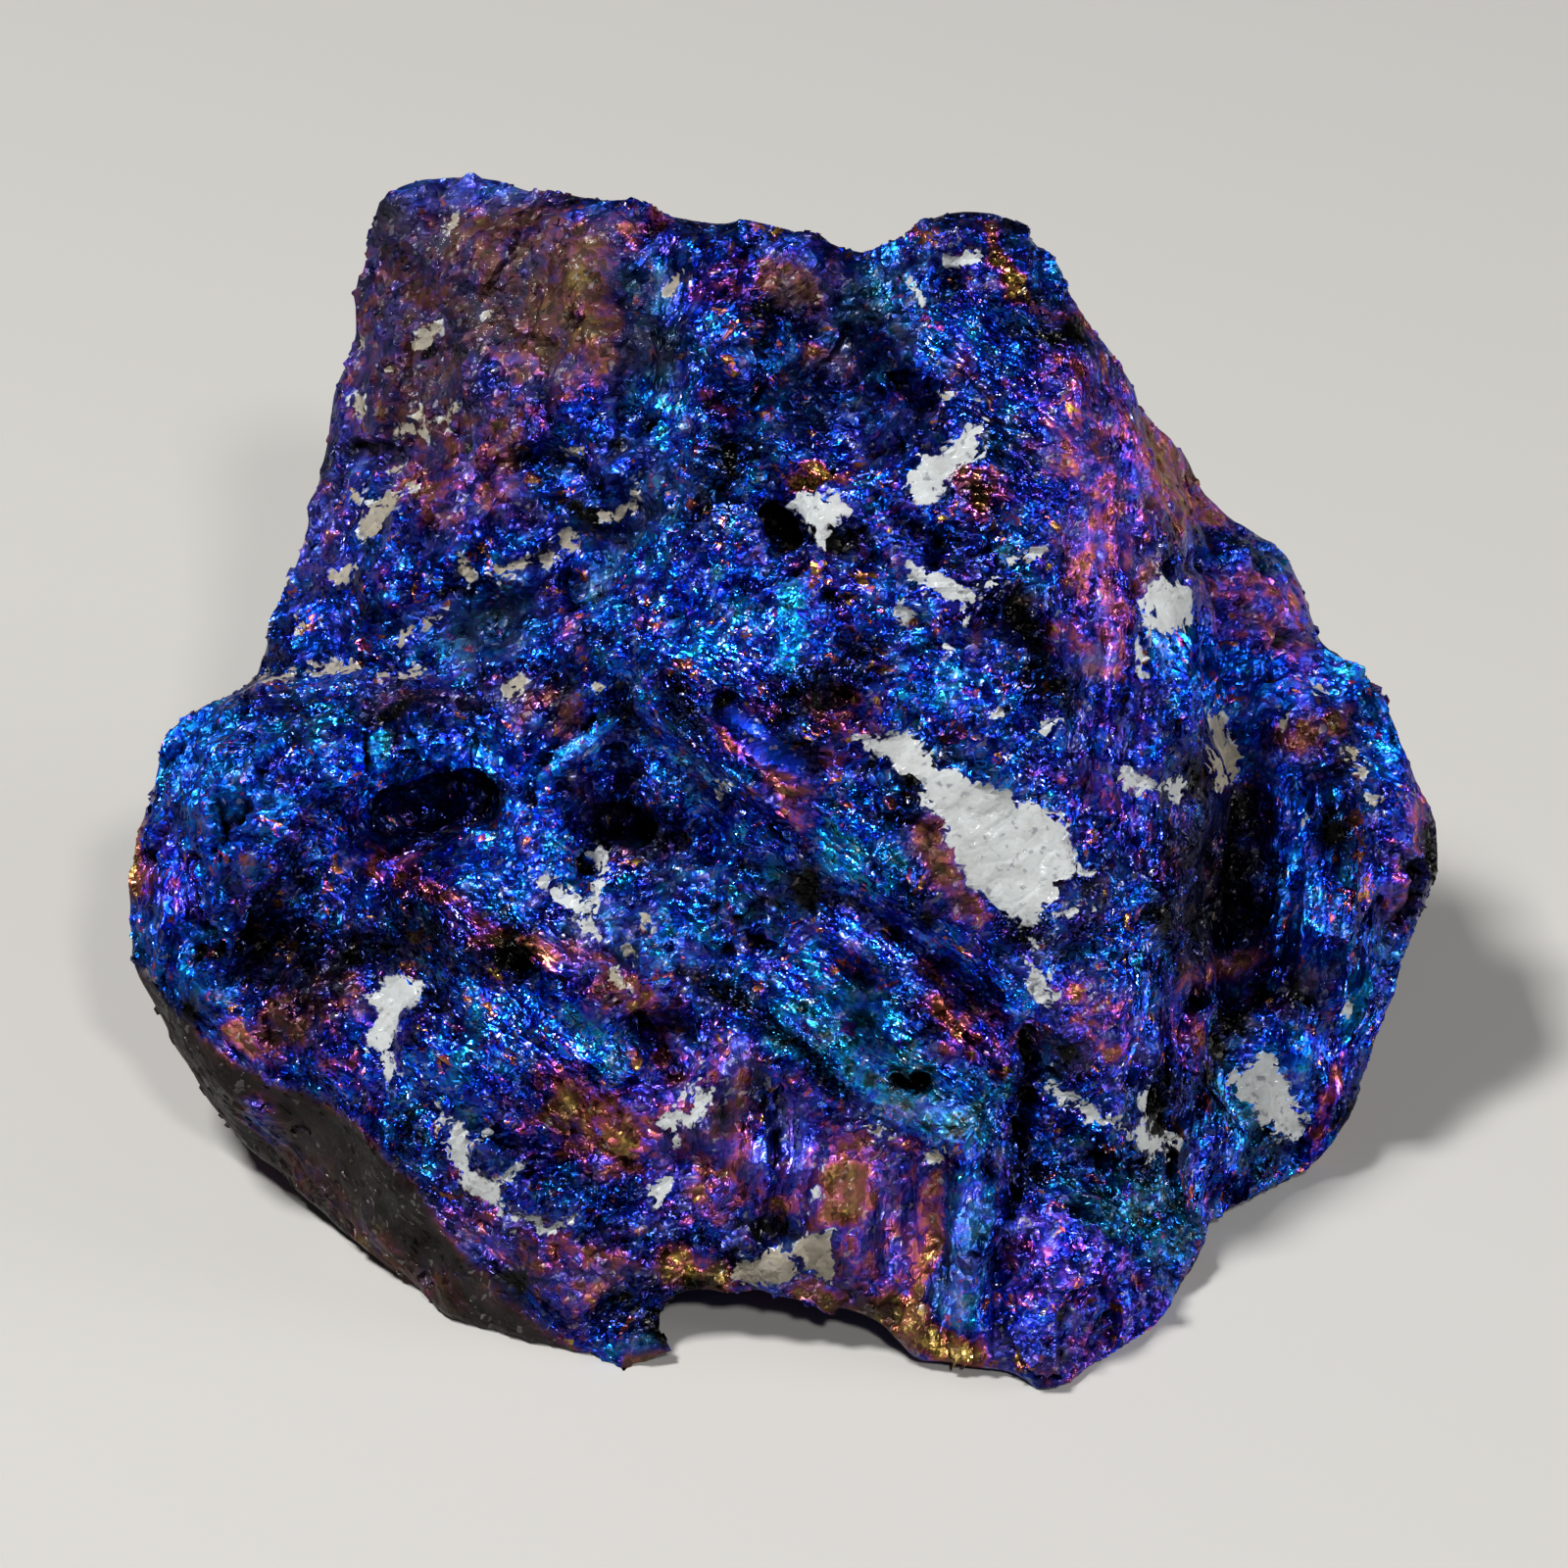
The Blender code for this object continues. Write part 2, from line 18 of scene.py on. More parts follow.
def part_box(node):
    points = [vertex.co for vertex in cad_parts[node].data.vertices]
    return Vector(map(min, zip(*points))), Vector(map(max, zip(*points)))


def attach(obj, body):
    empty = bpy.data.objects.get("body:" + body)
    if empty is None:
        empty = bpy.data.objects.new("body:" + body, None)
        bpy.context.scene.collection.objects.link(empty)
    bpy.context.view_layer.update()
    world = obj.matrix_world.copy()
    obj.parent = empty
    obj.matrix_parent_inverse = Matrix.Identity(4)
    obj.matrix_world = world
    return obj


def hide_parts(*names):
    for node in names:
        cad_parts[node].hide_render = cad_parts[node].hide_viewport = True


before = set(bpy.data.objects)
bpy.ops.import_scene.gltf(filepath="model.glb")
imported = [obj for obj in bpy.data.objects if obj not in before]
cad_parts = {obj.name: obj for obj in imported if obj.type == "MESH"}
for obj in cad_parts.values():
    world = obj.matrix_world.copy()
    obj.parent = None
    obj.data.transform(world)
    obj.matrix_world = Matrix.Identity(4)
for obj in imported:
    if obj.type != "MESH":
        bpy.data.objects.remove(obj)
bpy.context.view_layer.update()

MM = 0.001
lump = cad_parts["peacock_ore"]
low, high = (np.array(corner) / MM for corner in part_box("peacock_ore"))
print("the lump measures", np.round(high - low, 1), "mm")

# %% [markdown]
# ## Looking at the show face
#
# A collector looks down at the show face of this lump, at 35 degrees, from 400 mm away. Every marking is
# described on that view: x runs to the right, v up the view, both in millimetres in the plane through the
# middle of the face, and w out of it, towards the eye. Describing places as they are seen keeps them
# readable, and one function takes the points of a mesh to that view.

# %% The eye and the view
FACE_ELEVATION = math.radians(35.0)
EYE_DISTANCE = 400.0
SIGHT = np.array([-0.05, -8.95, 24.2])  # the middle of the show face

across = np.array([1.0, 0.0, 0.0])
upward = np.array([0.0, math.sin(FACE_ELEVATION), math.cos(FACE_ELEVATION)])
outward = np.array([0.0, -math.cos(FACE_ELEVATION), math.sin(FACE_ELEVATION)])


def seen(points):
    """Gives x, v and w, in millimetres, of points that are in millimetres from the floor's middle."""
    from_sight = points - SIGHT
    w = from_sight @ outward
    nearer = EYE_DISTANCE / (EYE_DISTANCE - w)
    return from_sight @ across * nearer, from_sight @ upward * nearer, w


print("the eye is", EYE_DISTANCE, "mm from the middle of the face")


# %% [markdown]
# ## The body of the lump
#
# The solid has about ten thousand flat triangles, which is enough for its forms and too few for the skin of
# broken ore. A voxel remesh lays an even net over a copy of it, fine enough to carry relief of half a
# millimetre, and a few rounds of smoothing take out the old flat triangles. Each round pulls every point
# towards its neighbours and then pushes the whole net back a little, so that the lump doesn't shrink.

# %% An even net over the lump
NET = 0.34  # the size of a net cell
SMOOTHING_ROUNDS = 5
FACING_ROUNDS = 6
PULL = 0.6  # the share of the way to its neighbours that a point goes in a round
PUSH = -0.62  # and the share back


def remeshed(source, cell):
    """Gives a new object with an even net of square cells over the source's shape."""
    mesh = source.data.copy()
    shape = bmesh.new()
    shape.from_mesh(mesh)
    bmesh.ops.remove_doubles(shape, verts=shape.verts, dist=0.001 * MM)
    bmesh.ops.recalc_face_normals(shape, faces=shape.faces)
    shape.to_mesh(mesh)
    shape.free()
    rough = bpy.data.objects.new("rough_lump", mesh)
    bpy.context.scene.collection.objects.link(rough)
    net = rough.modifiers.new("net", "REMESH")
    net.mode = "VOXEL"
    net.voxel_size = cell * MM
    bpy.context.view_layer.update()
    even = bpy.data.meshes.new_from_object(rough.evaluated_get(bpy.context.evaluated_depsgraph_get()))
    bpy.data.objects.remove(rough)
    made = bpy.data.objects.new("ore_body", even)
    bpy.context.scene.collection.objects.link(made)
    return made


def places(mesh):
    """Gives the points of a mesh in millimetres, a row for each."""
    flat = np.empty(len(mesh.vertices) * 3)
    mesh.vertices.foreach_get("co", flat)
    return flat.reshape(-1, 3) / MM


def smoothed(values, links, rounds, push=PUSH):
    """Evens out values over a net, a number or a row for each point."""
    rows = values.astype(float).reshape(len(values), -1)
    count = np.bincount(links.ravel(), minlength=len(rows))[:, None]
    for step in (PULL, push) * rounds:
        total = np.zeros_like(rows)
        for here, there in ((0, 1), (1, 0)):
            for axis in range(rows.shape[1]):
                total[:, axis] += np.bincount(links[:, here], rows[links[:, there], axis], len(rows))
        rows = rows + step * (total / count - rows)
    return rows.reshape(values.shape)


def put(mesh, points):
    """Moves the points of a mesh to places in millimetres."""
    mesh.vertices.foreach_set("co", (points * MM).ravel())
    mesh.update()


def facing(mesh):
    """Gives the direction in which the net faces at each of its points."""
    flat = np.empty(len(mesh.vertices) * 3)
    mesh.vertex_normals.foreach_get("vector", flat)
    return flat.reshape(-1, 3)


body = remeshed(lump, NET)
links = np.empty(len(body.data.edges) * 2, dtype=int)
body.data.edges.foreach_get("vertices", links)
links = links.reshape(-1, 2)
points = smoothed(places(body.data), links, SMOOTHING_ROUNDS)
put(body.data, points)
smooth_facing = smoothed(facing(body.data), links, FACING_ROUNDS, push=0.0)
smooth_facing /= np.linalg.norm(smooth_facing, axis=1, keepdims=True)
x, v, w = seen(points)
print("the net has", len(body.data.polygons), "cells and", len(points), "points")

# %% [markdown]
# ## Ragged places on the view
#
# Nothing on a broken stone has a clean outline. A place is given by the few points that its shape needs,
# and the distance from it is measured after the points of the net are nudged sideways by noise, so its edge
# comes out ragged. A path gives the distance from its line, and a patch the distance to its edge, counted
# as positive inside it. Both are written as text, "x v, x v", which is short and keeps each pair together.

# %% Noise, paths and patches
NOISE_SEED = 11  # Blender's noise is shifted by chance in every session, unless it gets a seed
noise.seed_set(NOISE_SEED)


def noisy(points, size, start=(0.0, 0.0, 0.0)):
    """Gives smooth noise from about -1 to 1 at each point, with swellings of a size in millimetres."""
    start = Vector(start)
    return np.array([noise.noise(Vector(p) / size + start) for p in points])


def nudged(amount, size, start):
    """Gives x and v, nudged sideways by noise."""
    rows = np.array([noise.noise_vector(Vector(p) / size + Vector(start)) for p in points])
    return x + amount * rows[:, 0], v + amount * rows[:, 1]


def path_of(text):
    """Gives the (x, v) places of a path or of corners that are written as "x v, x v"."""
    return [tuple(float(number) for number in place.split()) for place in text.split(",")]


def away(px, pv, path):
    """Gives each point's distance from a path, which is a row of (x, v) places, or only one."""
    if len(path) == 1:
        return np.hypot(px - path[0][0], pv - path[0][1])
    nearest = np.full(len(px), np.inf)
    for (ax, av), (bx, bv) in zip(path, path[1:]):
        run, rise = bx - ax, bv - av
        along = np.clip(((px - ax) * run + (pv - av) * rise) / (run * run + rise * rise), 0.0, 1.0)
        nearest = np.minimum(nearest, np.hypot(px - ax - along * run, pv - av - along * rise))
    return nearest


def within(px, pv, corners):
    """Gives each point's distance from the edge of a patch, positive inside it and negative outside."""
    inside = np.zeros(len(px), dtype=bool)
    for (ax, av), (bx, bv) in zip(corners, corners[1:] + corners[:1]):
        if av == bv:
            continue
        crosses = (av > pv) != (bv > pv)
        inside ^= crosses & (px < (bx - ax) * (pv - av) / (bv - av) + ax)
    edge = away(px, pv, corners + corners[:1])
    return np.where(inside, edge, -edge)


def eased(value, start, end):
    """Rises smoothly from 0 at start to 1 at end."""
    t = np.clip((value - start) / (end - start), 0.0, 1.0)
    return t * t * (3.0 - 2.0 * t)


front = eased(smooth_facing @ outward, -0.12, 0.22)
above_base = eased(points[:, 2], 0.15, 1.2)
print("the show face is", round(100 * float(front.mean())), "percent of the skin")

# %% [markdown]
# ## Gangue in the ore
#
# The white and beige patches are gangue: calcite and quartz that the ore grew around. They don't tarnish.
# The patches are flatter than the ore, so they are found first, and the relief is then held back on them.
# Their distance from the edge is kept on the net as an attribute, and the material draws the edge much
# finer than the net is.

# %% White patches and veins, and beige specks
WHITE_PATCHES = {
    "large patch right of the middle": (
        "3.1 2.2, 4.7 2.5, 6.1 2.3, 6.5 1.6, 7 0.9, 8.3 0.5, 9.5 -0.2, 10.8 -0.7, 12.6 -1.3, 13 -2, "
        "13.1 -3.1, 13.5 -4, 12.8 -4.5, 12.4 -5.6, 11.7 -6.3, 11.2 -6.8, 10.4 -6.1, 9.4 -5.4, 8.5 -4.5, "
        "7.9 -3.6, 7.5 -2.5, 7 -1.6, 6.5 -0.9, 6.1 0.2, 5.2 0.7, 4.3 1.1"
    ),
    "drop under the large patch": "11.1 -8.1, 11.8 -8.6, 12.5 -9.3, 12.8 -10.3, 11.9 -10.2, 11.2 -9.3",
    "patch above the middle": (
        "0.6 13.6, 1.3 13.5, 1.8 13.1, 2.5 13.2, 3 12.8, 2.8 12.2, 2.2 11.9, 2.2 11.2, 1.8 10.8, 1.4 11, "
        "1.2 11.6, 0.6 12, 0.3 12.7"
    ),
    "patch below the navy hollow": (
        "9.5 16.8, 8.9 16.4, 8.4 16.2, 7.7 15.7, 7.3 15.3, 6.6 15.3, 5.7 15.2, 6.3 14.7, 5.6 14.1, "
        "5.9 13.4, 6.3 12.7, 7.2 12.9, 7.3 13.7, 7.8 14.4, 8.6 14.7, 9.3 14.9, 9.1 15.7"
    ),
    "patch on the right crest": (
        "16.2 8.4, 17 9.1, 18 9.4, 18.8 8.8, 18.9 7.7, 18.3 7, 17.4 6.8, 16.4 7.4, 16.9 8"
    ),
    "patch low on the left": (
        "-18.6 -8.5, -18.2 -8.8, -17.5 -9, -16.4 -9.2, -17 -9.8, -17.5 -10.8, -17.7 -11.6, -18 -12.3, "
        "-17.7 -13.3, -18.1 -13.7, -18.5 -12.8, -18.9 -12.1, -19.3 -11.6, -18.8 -10.8, -18.9 -9.8"
    ),
    "fork under the belly": (
        "-11.6 -4, -10.9 -4.3, -10.1 -4.6, -9.6 -5.3, -9.1 -5.9, -8.5 -6.7, -8.1 -7.4, -8.6 -7.3, "
        "-9.3 -6.5, -10.1 -5.7, -10.9 -5.1"
    ),
    "small patch over the notch": "-5.1 -18, -5.4 -18.9, -5.9 -19.7, -6 -19, -6.8 -18.7",
    "patch on the far lobe": (
        "20.4 -13.7, 21.4 -12.5, 22.4 -12.3, 23 -13.4, 23.6 -14.6, 24.1 -15.6, 23.6 -16.5, 22.6 -16.2, "
        "22 -15.3, 21.5 -14.7, 20.9 -14.4"
    ),
    "strip low on the left": (
        "-16.7 -13.9, -16 -14.2, -15.6 -14.7, -15.1 -15.2, -14.5 -15.8, -14.4 -16.7, -14.3 -17.3, "
        "-13.9 -17.8, -13.4 -18.2, -12.9 -18.7, -13.2 -19.4, -13.9 -19.2, -14.5 -18.7, -15 -17.9, "
        "-15.1 -17, -15.3 -16.1, -15.8 -15.3, -16.3 -14.7"
    ),
    "branch over the notch": (
        "-6.2 -15.6, -5.2 -15.1, -4.6 -15, -4.1 -14.5, -3.5 -13.9, -3 -14.6, -3.7 -14.9, -4.3 -15.5, "
        "-5.1 -16.1, -5.8 -16"
    ),
    "left leaf of the cluster": "5.6 10.4, 6.6 10, 7.8 9.5, 7.7 9, 6.6 9.2, 5.8 9.6",
    "lower leaf of the cluster": "6.3 8.7, 7.4 9, 8.4 9, 9.2 8.6, 8.8 8.2, 7.7 8.4",
    "left bead of the string": "15.4 0.9, 16 0.8, 16.5 0.3, 16.1 -0.4, 15.6 0.1",
    "right bead of the string": "16.8 -0.2, 17.6 0.1, 18 0.5, 18.3 0.1, 18.1 -0.7, 17.4 -0.6",
    "end of the vein over the corner": (
        "15.9 -15.6, 16.9 -15.9, 17.8 -16.3, 17.5 -17.2, 17 -16.7, 16.7 -17.6, 16.2 -16.6"
    ),
}
# A vein is its path and its half width. One point gives a round speck.
WHITE_VEINS = [
    ("11.3 -6.6, 11.3 -8.4", 0.17), ("13.4 -4, 14.4 -4.1", 0.12), ("11.7 -6.3, 12.8 -5.9, 14.4 -5.6", 0.12),
    ("10.4 10.1, 11.9 10.6", 0.17), ("9 9.1, 9.9 9.4", 0.17), ("8.2 8, 8.6 7.4", 0.12),
    ("5.3 8.1, 5.6 7.6", 0.2), ("7.2 6.1", 0.25), ("12.2 3.1, 11.7 2.3", 0.14), ("16.2 0.1, 17 -0.2", 0.14),
    ("-14.6 -16.4, -13.5 -16.1", 0.12), ("-12.8 -18.3, -12.1 -17.1", 0.13),
    ("-12.9 -19.7, -12 -19.8, -11.1 -20.2", 0.27), ("-10.7 -20.4, -10.3 -20.3", 0.18),
    ("-9.9 -20, -9.5 -19.7", 0.18), ("-8.9 -19.6", 0.15), ("-12.3 -20.5", 0.15),
    ("-8.5 -3.1, -8.3 -4, -8.6 -5, -8.8 -6", 0.25), ("-8.1 -3.1, -8.3 -3.8", 0.14),
    ("-3.6 -12.9, -3.5 -14", 0.15), ("-4.5 -14, -4.6 -15", 0.13), ("-5.2 -16, -4.9 -16.6", 0.15),
    ("1.6 -17.5, 1.2 -19.6", 0.2), ("12.4 -14, 13.3 -14.5, 14.2 -15.1", 0.25),
    ("14.2 -15.1, 15.5 -15.8, 16.4 -16.1", 0.26), ("16.6 -13.8, 16.7 -15.6", 0.05), ("24.1 -1.7", 0.22),
    ("25.7 -10", 0.3), ("7.5 23.9, 8.9 24.2", 0.36), ("6 23.1, 6.1 22.2", 0.22),
    ("6.9 14.6, 7.4 15.4", 0.14), ("17 10.2, 17.4 9.4", 0.15), ("16.2 6.6, 16.5 5", 0.16), ("0.9 -6", 0.12),
]
BEIGE_PATCHES = {
    "notch of the slab's trench": "-8.6 12.6, -7.3 13, -6.5 14, -6.8 12.9, -7.5 11.9, -8.2 12.1",
    "left crystals over the notch": (
        "-2.6 -22.6, -1.9 -21.9, -0.9 -21.5, 0 -21.4, 0.6 -21.6, 0.7 -22.4, 0.2 -23, -0.8 -23.1, "
        "-1.8 -22.9"
    ),
    "right crystals over the notch": (
        "0.5 -21.2, 1.2 -20.6, 2.2 -20.7, 2.3 -21.6, 2.5 -22.5, 1.8 -22.8, 1.2 -22.4, 0.8 -22.6"
    ),
    "bead of the cleft": "19.5 3.4, 20.2 3, 20.4 1.8, 21.1 1.1, 20.9 0.1, 20.2 -0.2, 19.7 0.6, 19.5 1.8",
}
BEIGE_VEINS = [
    ("-15.1 25.7", 0.42), ("-19.3 20.3", 0.3), ("-16.8 20.1, -16 21", 0.3), ("-17.9 19", 0.28),
    ("-19.3 17.2", 0.42), ("-16.7 17, -16.6 16", 0.26), ("-18 16.2, -16.9 16.2", 0.28),
    ("-15.3 17.2, -15.8 16.3", 0.22), ("-13.5 21.7", 0.22), ("-10.8 19.2", 0.25),
    ("-10 15.3, -9.3 15.4", 0.28), ("-10 11.1, -10 11.4", 0.4), ("-12.9 9.9, -10.8 10.5", 0.38),
    ("-14.4 9.5, -14.7 10.1", 0.32), ("-15.6 7.8, -16.4 7.4", 0.25), ("-17.2 6.9, -17.8 6.5", 0.25),
    ("-20.4 9.6, -20.1 9.9", 0.48), ("-18 13.1, -19.1 11.8", 0.5), ("-17.2 13.7", 0.32),
    ("-17.8 14.6", 0.3), ("-19.7 13.2", 0.32), ("-22.2 7.2", 0.3), ("-24 4.9, -22.6 5.1", 0.25),
    ("-21.6 5.3, -19.8 5.2", 0.3), ("-18.4 4.9, -16.6 5.2", 0.24), ("-5.2 22.6, -4.8 23.4", 0.32),
    ("7.3 17.7", 0.22), ("8.9 17.5", 0.2), ("-12.4 4.5", 0.5), ("-8.4 4.4", 0.28), ("-7.1 -7.8", 0.4),
    ("0.2 -22.4", 0.18), ("5.9 13", 0.16), ("22.9 2.9", 0.3), ("24.4 4.2", 0.25),
    ("25.8 1.4, 26.6 0.6", 0.22), ("27.2 -0.8", 0.25), ("-6.4 -6.3", 0.28), ("-7.9 -8.8, -7.4 -9.4", 0.22),
    ("6.9 -16.8, 7.5 -17.4", 0.2), ("9.8 3.4", 0.2), ("4 -15.8, 5.4 -16.2", 0.14),
    ("-2.9 0.1, -2.8 -0.5", 0.2),
]
# On the back the ore holds a few patches of its own: a place, in millimetres from the floor's middle, and
# how far the patch reaches from it.
BACK_PATCHES = [
    ((-12.0, 20.0, 24.0), 2.4), ((9.0, 21.0, 14.0), 1.7), ((19.0, 16.0, 9.0), 1.3),
    ((-21.0, 14.0, 12.0), 1.2),
]
print(len(WHITE_PATCHES), "white patches on the face and", len(BACK_PATCHES), "on the back")

# %% How deep each point lies in gangue
RAGGED = 0.28  # how far an edge is nudged, in millimetres
RAGGED_SIZE = 0.9  # and the width of the noise that does it
BACK_RAGGED = 1.1  # the same for the patches on the back
BACK_RAGGED_SIZE = 2.2
FAR = 9.0  # far enough, in millimetres, to take a mark away

ragged_x, ragged_v = nudged(amount=RAGGED, size=RAGGED_SIZE, start=(3.0, 1.0, 7.0))
hidden = -FAR * (1.0 - front)  # takes a mark of the show face off the back


def marked(patches, veins):
    """Gives how deep each point lies inside patches and veins, in millimetres, below 0 outside."""
    depth = np.full(len(points), -FAR)
    for corners in patches.values():
        depth = np.maximum(depth, within(ragged_x, ragged_v, path_of(corners)) + hidden)
    for path, half_width in veins:
        depth = np.maximum(depth, half_width - away(ragged_x, ragged_v, path_of(path)) + hidden)
    return depth


white = marked(WHITE_PATCHES, WHITE_VEINS)
beige = marked(BEIGE_PATCHES, BEIGE_VEINS)
for place, radius in BACK_PATCHES:
    reach = np.linalg.norm(points - np.array(place), axis=1)
    reach += BACK_RAGGED * noisy(points, BACK_RAGGED_SIZE, place)
    white = np.maximum(white, radius - reach - FAR * front)
gangue = np.maximum(white, beige)
print("gangue covers", round(100 * float((gangue > 0).mean()), 1), "percent of the skin")
